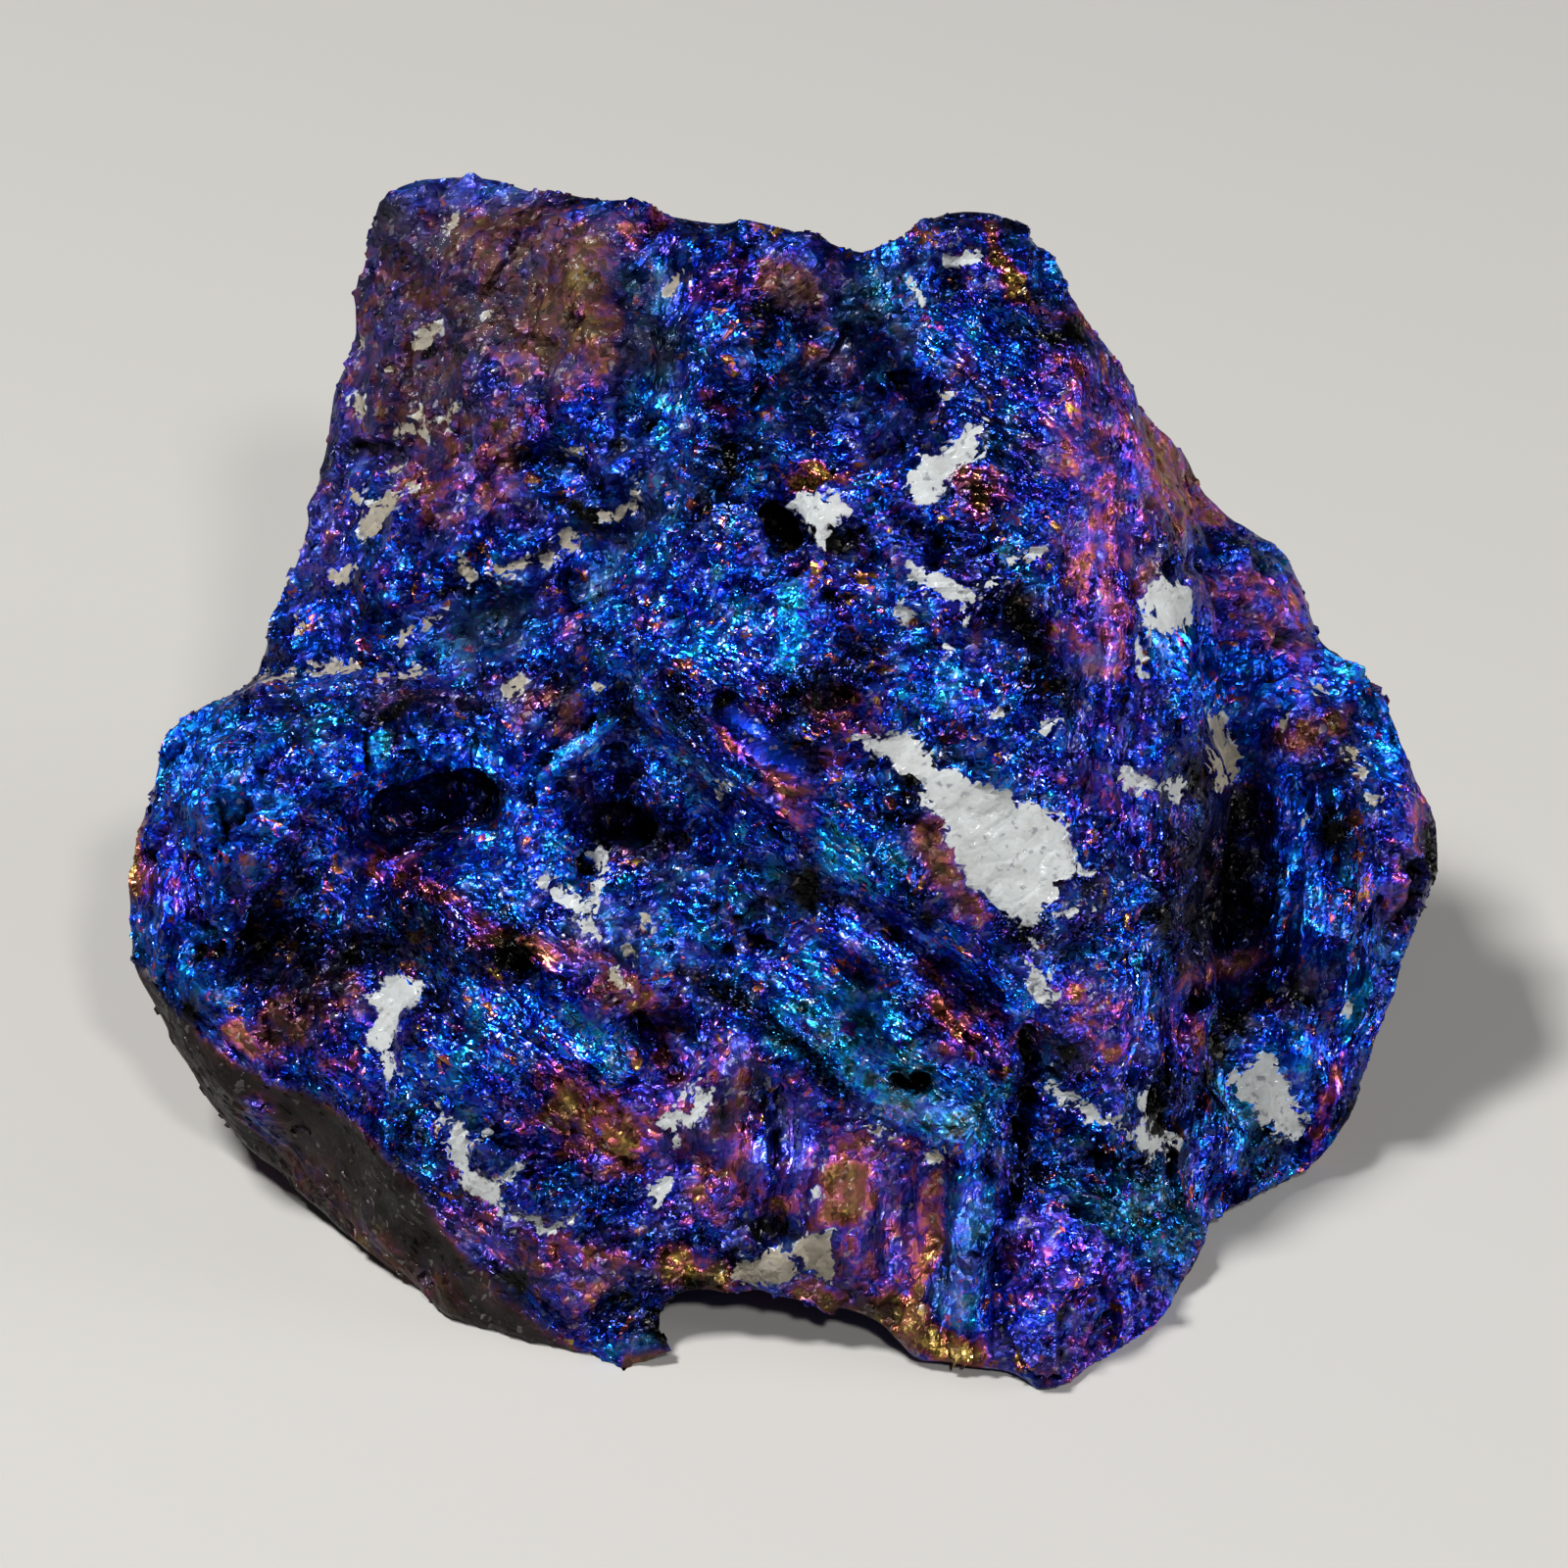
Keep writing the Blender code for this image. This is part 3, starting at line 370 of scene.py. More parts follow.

# %% [markdown]
# ## Where the tarnish is thick
#
# The film's thickness drifts over the lump in zones: a weathered brown slab at the upper left, blue in the
# middle, a pink crest on the right. Each zone is a path on the view with a reach, and holds four numbers:
# film, from 0, thin and gold, to 1, thick and teal; dull, for how weathered it is; dark, which darkens the
# colour, partly for darker ore and partly as painted shade in pits, valleys and clefts; and smooth, where the
# break left no grains. A point of the net takes the mean of the zones, weighted by how near it is.

# %% Zones of the show face
ZONES = [
    # path, reach, film, dull, dark, smooth
    ("brown head of the slab", "-17 24.6, -12 23, -16 19", 3.4, 0.32, 0.8, 0.9, 0.3),
    ("outer edge of the slab", "-20.5 20, -21.6 13", 1.6, 0.4, 0.65, 0.5, 0.3),
    ("teal top of the slab", "-17.6 27.2, -12.8 27", 0.8, 0.86, 0.4, 0.3, 0.5),
    ("rusty middle of the slab", "-13.4 16.4, -15 13", 1.8, 0.16, 0.8, 0.5, 0.1),
    ("rust of the head", "-13.6 24.6, -8.6 24.4, -12.4 20.6", 1.8, 0.15, 0.95, 0.74, 0.3),
    ("blue foot of the slab", "-22 8.4, -18.6 10.4, -14 10.8, -12 12.8, -9 14", 2.3, 0.6, 0.15, 0.35, 0.5),
    ("blue fleck of the slab", "-13.6 18, -11.6 17, -9.6 14.6", 1, 0.58, 0, 0.45, 0.2),
    ("azure fleck by the trench", "-19.2 8.4, -16 9.4, -10.6 13.2", 0.7, 0.68, 0, 0, 0),
    ("blue fleck of the rim", "-20.6 19, -20.8 15.5", 0.6, 0.58, 0.1, 0, 0),
    ("orange ring", "-18.9 8.8, -18 9.6, -17.1 8.8, -18 8", 0.35, 0.13, 0.25, 0, 0),
    ("rust over the trench", "-12.8 14.6, -12 12.4", 0.8, 0.14, 0.6, 0.2, 0.1),
    ("rust of the blue foot", "-10.6 9, -9.6 6.4", 0.5, 0.14, 0.55, 0.2, 0.1),
    ("olive crest", "-8.6 22.4, -8 19", 1.2, 0.02, 0.9, 0.66, 0.3),
    ("gold dot of the crest", "-8.7 20.4", 0.35, 0.03, 0.1, 0, 0),
    ("dark valley by the crest", "-5.6 23, -6.4 18.4", 1.2, 0.8, 0.6, 0.98, 0.3),
    ("blue over the knob", "-6.6 25, -3.6 24.4", 0.9, 0.58, 0, 0.3, 0.1),
    ("dark blue of the far edge", "-9 26.6, -2 25, 4 24.4", 0.7, 0.58, 0.2, 0.45, 0.3),
    ("orange glint of the far edge", "-7.4 25.6, -5.4 25.9", 0.3, 0.08, 0.2, 0.1, 0),
    ("trench", "-14 7.2, -9 9.6, -6.8 12.4, -6.2 15.4", 1, 0.74, 0.5, 0.96, 0.6),
    ("glints over the trench", "-7.2 17.6, -4.5 16.4, -1.8 15.3", 1.3, 0.68, 0, 0, 0),
    ("blue violet knob", "-4 22.6, -2.6 20.8, -1.4 18.8", 1.5, 0.58, 0, 0.45, 0.3),
    ("lilac rim of the knob", "-3.8 22.6, -2.2 22.4, -0.6 21", 0.7, 0.38, 0, 0, 0.25),
    ("copper under the knob", "-3.4 17.8, -2.6 17.3", 0.4, 0.15, 0.3, 0.1, 0),
    ("smooth teal top", "2.9 22.6, 5.6 21", 1.5, 0.74, 0.3, 0.94, 0.5),
    ("tan lumps of the top", "-0.6 23.6, 0.6 22.6, 1.6 22", 0.7, 0.12, 0.85, 0.75, 0.3),
    ("brown by the tan lumps", "2.4 23.8, 2.4 23", 0.4, 0.16, 0.65, 0.35, 0.3),
    ("brown flecks of the hollow", "1 19.9, 2 19.6, 3.1 19", 0.4, 0.16, 0.6, 0.1, 0.1),
    ("navy hollow", "-0.2 18.2, 2.4 18.6, 6.4 18", 1.8, 0.62, 0.15, 0.93, 0.5),
    ("dark top of the right knob", "6.6 25.2, 9 25.8", 0.9, 0.55, 0.2, 0.5, 0.1),
    ("royal blue shoulder", "7.6 19.8, 12.6 17.6", 2.1, 0.58, 0, 0.05, 0),
    ("azure of the shoulder", "8.6 21.4, 10.4 19.6", 0.6, 0.68, 0, 0, 0),
    ("copper by the beads", "5.4 17.6", 0.4, 0.14, 0.1, 0, 0),
    ("blue by the gold", "11.4 24, 13.2 21.8", 0.9, 0.6, 0.1, 0.15, 0.2),
    ("brown shoulder", "12.1 21.7, 13.4 21.1", 0.5, 0.14, 0.5, 0.15, 0.1),
    ("gold round the upper patch", "8 14, 9.6 13.5, 9.2 12.8", 0.6, 0.02, 0.1, 0, 0),
    ("gold over the middle patch", "0.6 14, 2.4 14", 0.35, 0, 0.05, 0, 0),
    ("pink crest", "14 18.6, 13.6 15, 14.6 11, 14.4 6.4", 1.7, 0.28, 0.55, 0.25, 0.3),
    ("lilac of the crest", "15.2 16, 16 11", 1, 0.42, 0.2, 0, 0.2),
    ("upper blue fleck of the crest", "13 13.6, 13.5 12.4", 0.4, 0.6, 0, 0.2, 0),
    ("middle blue fleck of the crest", "15.3 9.9, 15.6 8.6", 0.4, 0.62, 0, 0.1, 0),
    ("lower blue fleck of the crest", "13.8 8.2, 14.1 7", 0.4, 0.58, 0, 0.2, 0),
    ("foot of the pink crest", "15 3.6, 15.2 -1", 1.2, 0.5, 0.2, 0, 0.1),
    ("blue left of the crest", "11.2 13, 12 4", 1.3, 0.6, 0, 0.15, 0),
    ("right of the middle", "4.4 10.6, 9 5", 2.6, 0.54, 0.15, 0.1, 0),
    ("blue right of the middle patch", "2.9 11.2", 0.7, 0.62, 0, 0, 0),
    ("azure right of the middle", "5.8 4.8, 8.2 4.2", 0.9, 0.76, 0, 0, 0),
    ("azure middle", "-9.4 8.6, -4 7, -1 5.4", 2.4, 0.6, 0, 0, 0.1),
    ("violet middle", "-4.8 4.8, -2 5.4", 1, 0.5, 0, 0, 0),
    ("violet above the groove", "-2 3.9, 0.2 2.4", 0.5, 0.46, 0, 0, 0.2),
    ("copper rim of the round pit", "1.3 4, 1.6 3.2, 2.3 2.9, 3 3.2, 3.3 3.9", 0.35, 0.13, 0.3, 0, 0),
    ("round pit", "2.3 4", 0.5, 0.16, 0.5, 0.95, 0.2),
    ("violet under the cyan", "3.6 3, 1.8 1.6", 0.8, 0.46, 0, 0.1, 0),
    ("belly", "-20 0.6, -13.4 1.6, -11.6 -2.6", 1.9, 0.66, 0, 0, 0.3),
    ("dark under the brow", "-9 -0.8, -7.2 -2.4, -5.8 -2.8", 0.8, 0.5, 0.3, 0.93, 0.1),
    ("navy of the brow", "-6.8 1.4, -3 -1.8", 1.7, 0.62, 0.15, 0.15, 0),
    ("weathered shelf under the slab", "-18.6 3.6, -13.4 3.8, -10.4 3.4", 0.7, 0.3, 0.6, 0.9, 0.1),
    ("blue of the shelf", "-21.6 4.4, -19.6 3.6", 0.9, 0.66, 0.1, 0.1, 0),
    ("brown patch of the belly", "0.1 -0.1, 0.5 -0.9", 0.7, 0.16, 0.8, 0.25, 0.1),
    ("brown beside the white", "6.7 -2.4, 7.2 -4.4", 0.7, 0.1, 0.75, 0.35, 0.3),
    ("copper under the white", "8 -5.2, 8.8 -6.2", 0.5, 0.17, 0.6, 0.3, 0.3),
    ("teal beside the white", "3.4 -3, 5 -3.4", 1.1, 0.86, 0.1, 0.1, 0.1),
    ("azure beside the white", "2.6 -1.6, 4.6 -1.2", 0.8, 0.7, 0, 0, 0),
    ("blue below the middle", "-3.4 -5.2, 0 -7.6, 4.4 -7", 2.2, 0.62, 0.2, 0.08, 0),
    ("left lobe", "-27.6 2, -24.6 0.6, -26.8 -3, -27.6 -8", 1.9, 0.71, 0, 0.4, 0.6),
    ("violet of the left lobe", "-28.4 -3, -27.2 -5.8", 0.9, 0.37, 0, 0, 0.3),
    ("orange rim of the left lobe", "-29.9 -2, -29.8 -4.6", 0.5, 0.06, 0.2, 0, 0),
    ("gold bits of the left lobe", "-29.5 -4.2, -27.2 -4.7", 0.22, 0.03, 0.1, 0, 0.2),
    ("right of the left lobe", "-21.6 -0.6, -21 -4.6", 1.4, 0.58, 0.05, 0.25, 0),
    ("navy hollow of the left lobe", "-24.6 -6.2, -22.4 -8.6", 1.7, 0.52, 0, 0.85, 0.2),
    ("tan ledge", "-25.2 -11.2, -24.2 -12.2", 0.45, 0.14, 0.6, 0, 0.2),
    ("brown above the low patch", "-23 -11, -20.4 -9.4", 1, 0.2, 0.5, 0.93, 0),
    ("blue low on the left", "-20 -14.4, -16 -12, -12.6 -11.4", 2.2, 0.6, 0.05, 0.1, 0),
    ("navy over the low patch", "-20.6 -5.6, -15.8 -7.6", 1.5, 0.54, 0, 0.65, 0),
    ("gold edge of the left bowl", "-18.6 -4.2, -15.6 -5.2, -13.4 -6.9, -10.6 -8", 0.45, 0.2, 0.1, 0, 0),
    ("pink over the left bowl", "-19.8 -1.8, -17.4 -3.8", 0.6, 0.27, 0.1, 0, 0),
    ("grey mottled ore under the brow", "-8 -6.8, -5 -8.4", 0.9, 0.6, 0.45, 0.3, 0),
    ("violet by the low patch", "-20.8 -12, -19.4 -14.6", 0.8, 0.34, 0, 0, 0),
    ("azure over the notch", "-13.8 -10.6, -10.2 -10.8, -7.6 -12.2", 1.2, 0.74, 0, 0, 0),
    ("weathered middle of the belly", "-9.4 -8.8, -6.4 -10.4", 0.9, 0.17, 0.6, 0.2, 0),
    ("azure of the middle belly", "-3 -4.6, -0.6 -5.6", 0.9, 0.74, 0, 0, 0),
    ("orange patch", "-9.8 -14.6, -8 -16.2", 1.3, 0.12, 0.3, 0.05, 0),
    ("crimson patch", "-11.2 -16.6, -9.8 -17", 0.7, 0.24, 0.1, 0.2, 0),
    ("gash", "-6.7 -10.8, -5 -13.2", 0.5, 0.27, 0.1, 0.55, 0.2),
    ("blue under the orange", "-10.4 -18.4, -6.6 -18.6", 1, 0.58, 0, 0.4, 0),
    ("violet foot", "-14.6 -20.8, -9 -22.4", 1.4, 0.34, 0.5, 0.45, 0),
    ("diagonal groove", "5 -6.6, 7.6 -9.2, 11 -11.6", 0.4, 0.38, 0.05, 0.5, 0.1),
    ("blue over the diagonal groove", "8.4 -7.2, 11 -9.6", 1, 0.64, 0.1, 0, 0.1),
    ("magenta under the groove", "7 -10.8, 8.6 -11", 0.8, 0.3, 0, 0, 0.1),
    ("salmon under the groove", "8.2 -11.6, 9.6 -12.5", 1.2, 0.22, 0.1, 0, 0.1),
    ("crimson crease", "11.4 -11.4, 11.2 -14.2", 0.4, 0.25, 0.1, 0.6, 0.1),
    ("teal hump", "1 -10.6, 5 -12, 9.8 -13.8", 1.4, 0.86, 0.15, 0.15, 0.1),
    ("pale streaks under the hump", "4.6 -14.5, 8.2 -15.4", 0.7, 0.92, 0.7, 0, 0.1),
    ("lilac belly", "-3.6 -15.4, 0.4 -17, 4.6 -20.4", 2.4, 0.34, 0.5, 0, 0.15),
    ("blue of the lilac belly", "-0.8 -14.2, -0.4 -18", 0.5, 0.66, 0, 0, 0),
    ("brown strip", "7 -18.2, 6.7 -20.6, 6.2 -24", 0.4, 0.09, 0.6, 0.1, 0.4),
    ("royal blue by the fin", "10.2 -18.4, 9.6 -23", 0.4, 0.58, 0.2, 0.3, 0.3),
    ("dark slope", "11.6 -15.6, 15.6 -17.2", 1.4, 0.62, 0.05, 0.62, 0),
    ("teal slope", "14.6 -18.6, 17.2 -20", 1.2, 0.86, 0.1, 0.5, 0.1),
    ("olive lip of the notch", "-5.4 -22.3, -3 -22.7", 0.6, 0.05, 0.5, 0.15, 0.1),
    ("gold of the notch", "-5 -21.6, -4.4 -22.4", 0.4, 0.07, 0.2, 0, 0),
    ("gold under the crystals", "4.6 -24.2, 6.4 -25.4, 8.6 -26.6", 0.6, 0, 0.5, 0.1, 0),
    ("black gold of the lip", "0.8 -23.4, 3 -23.6, 5 -24.6", 0.35, 0.04, 0.5, 0.7, 0.1),
    ("blue foot", "-7.2 -24.2", 0.8, 0.58, 0, 0.15, 0),
    ("brown top of the far lobe", "16.8 15.4, 19.4 13", 1.2, 0.19, 0.7, 0.05, 0.3),
    ("blue of the far crest", "20 11.2, 22.4 10.6", 0.8, 0.64, 0.1, 0.25, 0.3),
    ("mauve stripes of the far lobe", "19.6 9, 21 7", 0.9, 0.36, 0.45, 0, 0.3),
    ("pink of the far lobe", "22.6 8.8, 23.2 6", 1.1, 0.26, 0.35, 0, 0.4),
    ("azure of the far lobe", "18.8 6.4, 22 4", 1.6, 0.66, 0.1, 0.25, 0.6),
    ("azure rim of the far lobe", "25.4 5.6, 27.4 3.4, 28.2 0.4", 0.8, 0.72, 0, 0.2, 0.6),
    ("rosy edge of the far lobe", "27.8 -2.8, 28.2 -5.6", 0.7, 0.4, 0.3, 0, 0.3),
    ("inner far lobe", "23 -0.6, 24 -1.6, 23.4 -4, 24.2 -6", 1.1, 0.7, 0, 0, 0.4),
    ("navy of the inner lobe", "25.4 0, 25.8 -3, 25 -8", 0.9, 0.56, 0.1, 0.6, 0.1),
    ("rust of the inner lobe", "22.8 2.6, 24.8 2.6", 0.6, 0.16, 0.6, 0.6, 0),
    ("brown rim of the far lobe", "28.8 0.6, 29.6 -2.6", 0.6, 0.22, 0.5, 0.1, 0.4),
    ("brink of the cleft", "17.6 0, 17.4 -6", 0.9, 0.52, 0.1, 0.65, 0),
    ("brown foot of the cleft", "18.4 -8.8, 21.4 -8", 0.6, 0.18, 0.65, 0.4, 0.1),
    ("foot of the far lobe", "21.6 -12, 23.2 -12.4", 0.8, 0.68, 0, 0, 0.3),
    ("teal by the far patch", "20.4 -14.6, 21.4 -16.6", 1.1, 0.84, 0.1, 0.15, 0.1),
    ("azure right of the white", "15.4 -5.4, 17 -8.2", 0.9, 0.68, 0, 0, 0),
    ("blue right of the white", "14.6 -3.4, 15.8 -8.2", 1.6, 0.6, 0.1, 0.2, 0),
    ("lilac slope", "13.4 -9.8, 14.8 -11.6", 0.9, 0.36, 0.45, 0, 0.1),
    ("violet streak of the slope", "18.2 -10.8, 18.6 -12.8", 0.5, 0.34, 0.2, 0, 0),
    ("violet right of the slope", "18 -14.2, 20.4 -17", 1.4, 0.54, 0.15, 0.2, 0),
]
# These have a sharper edge, so each is given by its corners and the width of that edge, and then by the same
# four numbers. On the undercut facet, which faces down, and in the cleft, the dark value is painted shade.
CRISP = [
    ("undercut facet", (
        "-29.5 -8.6, -25.4 -13, -20.4 -15, -16.9 -18.5, -13.8 -22.9, -9.6 -26, -12 -32, -36 -32, -36 -8.6"
    ), 0.3, 0.18, 0.8, 1, 0.4),
    ("smooth groove", (
        "-3.6 3.9, -2.6 3.9, -1.6 3.2, -0.2 2.2, 0.8 1.4, 1.2 0.5, 0.9 0.1, -0.4 0.7, -1.6 1.5, -2.8 2.6"
    ), 0.2, 0.56, 0, 0.5, 1),
    ("pink lip of the groove", (
        "-3.6 2.8, -2.9 2.6, -1.7 1.4, -0.5 0.5, 0.6 0, 0.7 -0.3, -0.6 0.1, -1.9 0.9"
    ), 0.15, 0.34, 0, 0.2, 0.4),
    ("brown rim of the undercut", (
        "-22.6 -17, -21.4 -17.3, -18.6 -20.3, -15.4 -22.8, -15.2 -24.2, -19 -22.4, -22.2 -19.2"
    ), 0.4, 0.18, 0.7, 0.8, 0.2),
    ("blue fleck of the undercut", (
        "-24.6 -14.2, -23.8 -14.4, -22.9 -15.8, -22.4 -16.6, -23.2 -16.5, -24.2 -15.4"
    ), 0.5, 0.55, 0.2, 0.45, 0.1),
    ("cyan plates of the knob", (
        "-0.5 9.2, 0.6 9.4, 1.2 8.4, 1 6.8, 0.4 5.4, -0.4 5.6, -0.2 7.2"
    ), 0.2, 0.8, 0, 0, 0.4),
    ("cyan flake", "-19.1 2.4, -18.4 2.6, -17.9 2, -18.1 1.4, -18.8 1.3, -19.2 1.8", 0.1, 0.83, 0.1, 0, 0.6),
    ("gold streak", (
        "9.2 25.6, 9.8 25.5, 10.1 24.2, 10.8 23.3, 11.9 22.4, 11.5 21.8, 10.1 22.7, 9.6 23.9"
    ), 0.35, 0.01, 0.1, 0.5, 0),
    ("magenta streak", (
        "25 -11.6, 26.3 -11.8, 25.4 -14.2, 24.6 -17, 23.7 -17.8, 24 -15.8, 24.6 -13.6"
    ), 0.2, 0.34, 0, 0, 0.6),
    ("azure streak", "26.1 -8.4, 27.3 -8.6, 27 -9.9, 26 -11.3, 25 -12, 25.3 -10.4", 0.2, 0.84, 0, 0, 0.6),
    ("long pit", (
        "-19.3 -1.6, -18.7 -0.5, -17.6 0, -15.8 0.4, -14.2 0.2, -13.5 -0.4, -11.7 -0.3, -11.3 -0.7, "
        "-13.5 -1.1, -14.4 -2, -16.2 -2.8, -18 -3.1, -19.1 -2.5"
    ), 0.3, 0.56, 0.2, 0.8, 0.1),
    ("cleft", (
        "19.1 1.4, 20.2 0, 21.4 0.5, 22 -1.4, 21.8 -3.6, 22 -5.9, 21.2 -7.2, 19.4 -7.9, 18.3 -8.3, "
        "18 -5.9, 18.2 -2.7, 18.5 -0.5"
    ), 0.9, 0.5, 0.3, 0.98, 0.1),
    ("copper block", "1.8 -17.5, 3.7 -17.6, 3.5 -19.8, 2.4 -20.3, 1.7 -19.5", 0.2, 0.16, 0.4, 0.6, 0.7),
    ("sky blue fin", (
        "7.5 -18.1, 9.6 -18.1, 9.2 -22, 8.6 -25.5, 6.9 -24.8, 6.6 -23.4, 7.2 -20.7"
    ), 0.25, 0.72, 0.35, 0.3, 0.2),
    ("corner block", (
        "11.5 -17.9, 13.7 -20.2, 17 -22.2, 18.3 -24.4, 17.6 -25.9, 12.6 -30, 9.2 -28, 9.1 -25.5, "
        "10.2 -21.1"
    ), 0.2, 0.46, 0.3, 0, 0.2),
    ("pale stripe of the belly", (
        "-8 2.9, -7.7 2.5, -9.6 1.6, -10.4 0.2, -10.9 -0.8, -11.7 -2.4, -12 -2, -11.3 -0.2, -10.7 1.2, "
        "-9.7 2.2"
    ), 0.12, 0.78, 0.15, 0, 0.5),
    ("grey tip", "-7.4 -26, -4.8 -26, -4.8 -28, -7.8 -28", 0.2, 0.12, 1, 0.15, 0.4),
]

# %% The mean of the zones at each point
FULL_NUDGE_REACH = 2.0  # the reach, in millimetres, from which a path is nudged in full
FALLOFF = 0.12  # how much the ore between the zones counts
BETWEEN = np.array([0.60, 0.15, 0.25, 0.0])
WEATHER = np.array([0.38, 0.5, 0.2, 0.15])  # the middle of the film, dull, dark and smooth on the back
WEATHER_SWING = np.array([0.42, 0.5, 0.25, 0.3])
WEATHER_SIZE = 7.0  # the width of a swing, in millimetres

broad_x, broad_v = nudged(amount=1.5, size=2.6, start=(1.0, 8.0, 3.0))
fine_x, fine_v = nudged(amount=0.8, size=0.9, start=(5.0, 2.0, 6.0))
nudge_x, nudge_v = broad_x + fine_x - 2.0 * x, broad_v + fine_v - 2.0 * v


def nearness(path, reach):
    """Gives 1 on a path, fading over its reach. A narrow one is nudged less, so that it keeps its place."""
    share = min(1.0, reach / FULL_NUDGE_REACH)
    return np.exp(-((away(x + share * nudge_x, v + share * nudge_v, path_of(path)) / reach) ** 2))


total = np.full(len(points), FALLOFF)
mix = np.outer(total, BETWEEN)
for name, path, reach, *look in ZONES:
    near = nearness(path, reach)
    total += near
    mix += np.outer(near, look)
face_look = mix / total[:, None]
swings = [noisy(points, WEATHER_SIZE, (11.0 * k, 2.0, 5.0)) for k in range(len(WEATHER))]
back_look = WEATHER + WEATHER_SWING * np.stack(swings, axis=1)
look = np.clip(front[:, None] * face_look + (1.0 - front[:, None]) * back_look, 0.0, 1.0)
wraps = eased(smooth_facing @ outward, -0.5, -0.1)
for name, corners, edge, *crisp_look in CRISP:
    edge_x, edge_v = x + edge * nudge_x, v + edge * nudge_v
    share = wraps * eased(within(edge_x, edge_v, path_of(corners)), -edge, edge)
    look += share[:, None] * (np.array(crisp_look) - look)
film, dull, dark, smooth = look.T
print(len(ZONES), "zones; the mean film is", round(float(film.mean()), 2))

# %% [markdown]
# ## Patches that flash
#
# Grains that grew as parts of one crystal lean the same way, so under one lamp they flash together, and go
# dark together when the lump is turned. Each flashing patch is a path with a reach and a strength. Its lean
# is the step from where the skin faces to halfway between the lamp and the eye, which is where a mirror
# would have to face.

# %% Leaning grains
FULL_LEAN = 1.2  # a full flash leans a little past the direction that mirrors the lamp
LAMP_FROM_FACE = (-240.0, 400.0, 320.0)  # right, up and out from the middle of the show face, in millimetres
FLASHES = [
    ("8.4 20.4, 10.4 19.6, 12.4 17.6", 1.3, 0.75), ("-2.9 2.4, 0.8 -0.2", 0.5, 0.5), ("-4.9 -22", 0.7, 0.6),
    ("-29.8 -2.6, -29.7 -4.6", 0.6, 0.6), ("9.4 25.2, 9.8 23.8, 11.2 22.3", 0.6, 0.5),
    ("25.2 -12, 24.4 -14.6", 0.7, 0.6), ("5 -24.6, 8.4 -26.4", 0.7, 0.4), ("1.5 14", 0.6, 0.6),
    ("-27.8 1.4, -24.4 0.6", 2.0, 0.75), ("-28.2 -3.5, -27 -7.5", 1.3, 0.7),
    ("-20.6 0.6, -19.4 -0.6", 0.9, 0.5), ("-16.6 1.6, -13.4 1.4, -11.8 -0.4", 1.0, 0.7),
    ("-14 -20.8, -9.6 -22.2", 1.2, 0.45), ("8 -11, 9.4 -12.3", 0.8, 0.7), ("23.6 1.6, 23.2 -0.6", 0.7, 0.6),
    ("12.6 -15.6, 15.2 -16.6", 0.9, 0.4), ("13.6 -10.2, 14.8 -11.6", 0.9, 0.4),
    ("-4 22.2, -2.6 20.8, -1.4 18.9", 1.4, 0.6), ("-6.3 17.3, -4 16.7", 0.9, 0.8),
    ("-8.8 8.6, -5.6 6.2", 1.4, 0.6), ("0.2 8.6, 0.5 6.2", 0.9, 0.85), ("-5 5, -1.5 6.5", 1.4, 0.4),
    ("-13.2 18, -11 16.6", 0.9, 0.5), ("-18.2 10.4, -17.2 10.1", 0.6, 0.6),
    ("-18.7 2.1, -18.3 1.5", 0.5, 0.9), ("2 9.2, 3 7.6", 0.8, 0.5), ("7.4 5.2, 8.2 4", 0.7, 0.6),
    ("2.4 -0.6, 4.2 -2", 0.8, 0.5), ("-3.2 -5.2, -2 -7.6", 1.0, 0.6), ("-13.6 -10.4, -8 -12.4", 1.2, 0.6),
    ("13.4 15.6, 14.6 7", 1.4, 0.35), ("18.8 6.4, 21.6 4.2", 1.8, 0.9), ("23.4 -0.6, 23.9 -5.4", 1.0, 0.7),
    ("25.4 5.6, 27.4 3.2, 28.1 0.8", 0.8, 0.85), ("26.6 -9, 25.8 -11.2", 0.9, 1.0), ("22.4 -12", 0.7, 0.95),
    ("25.4 -12.4, 24.2 -16.8", 0.6, 0.85), ("12 -20.5, 15.5 -24.5", 2.4, 0.65),
    ("8.6 -19, 7.8 -24.5", 1.0, 0.5), ("15.4 -6, 16.5 -11.2", 1.0, 0.5), ("5 -11.5, 9.5 -13.5", 0.8, 0.4),
    ("4.5 23.4, 6.2 21.2", 0.8, 0.5), ("9.2 -11.2", 0.6, 0.8), ("0 -17, 3 -20", 1.6, 0.4),
    ("-11.2 0, -11.8 -2", 0.5, 0.8), ("16.8 7.8", 1.0, 0.4),
]
print(len(FLASHES), "places flash")

# %% The lean of the crystals
to_lamp = np.array(LAMP_FROM_FACE) / np.linalg.norm(LAMP_FROM_FACE)
halfway = to_lamp[0] * across + to_lamp[1] * upward + (to_lamp[2] + 1.0) * outward
halfway /= np.linalg.norm(halfway)
flash = np.zeros(len(points))
for path, reach, strength in FLASHES:
    flash = np.maximum(flash, strength * nearness(path, reach) * front)
crystal_lean = FULL_LEAN * flash[:, None] * (halfway - smooth_facing)
print("flashing patches cover", round(100 * float((flash > 0.25).mean())), "percent of the skin")

# %% [markdown]
# ## Which way the break runs
#
# In places the ore broke along fibres, and its crumples and grains are drawn out: up and down on the pink
# crest, on the fins by the corner and on the lilac belly, and down to the right over the middle. Two runs
# of fibres are enough. Each has its angle on the view, how long its crumples are next to their width, and
# the stretches of the face that it rules, as paths with a reach. Elsewhere the break has no direction.

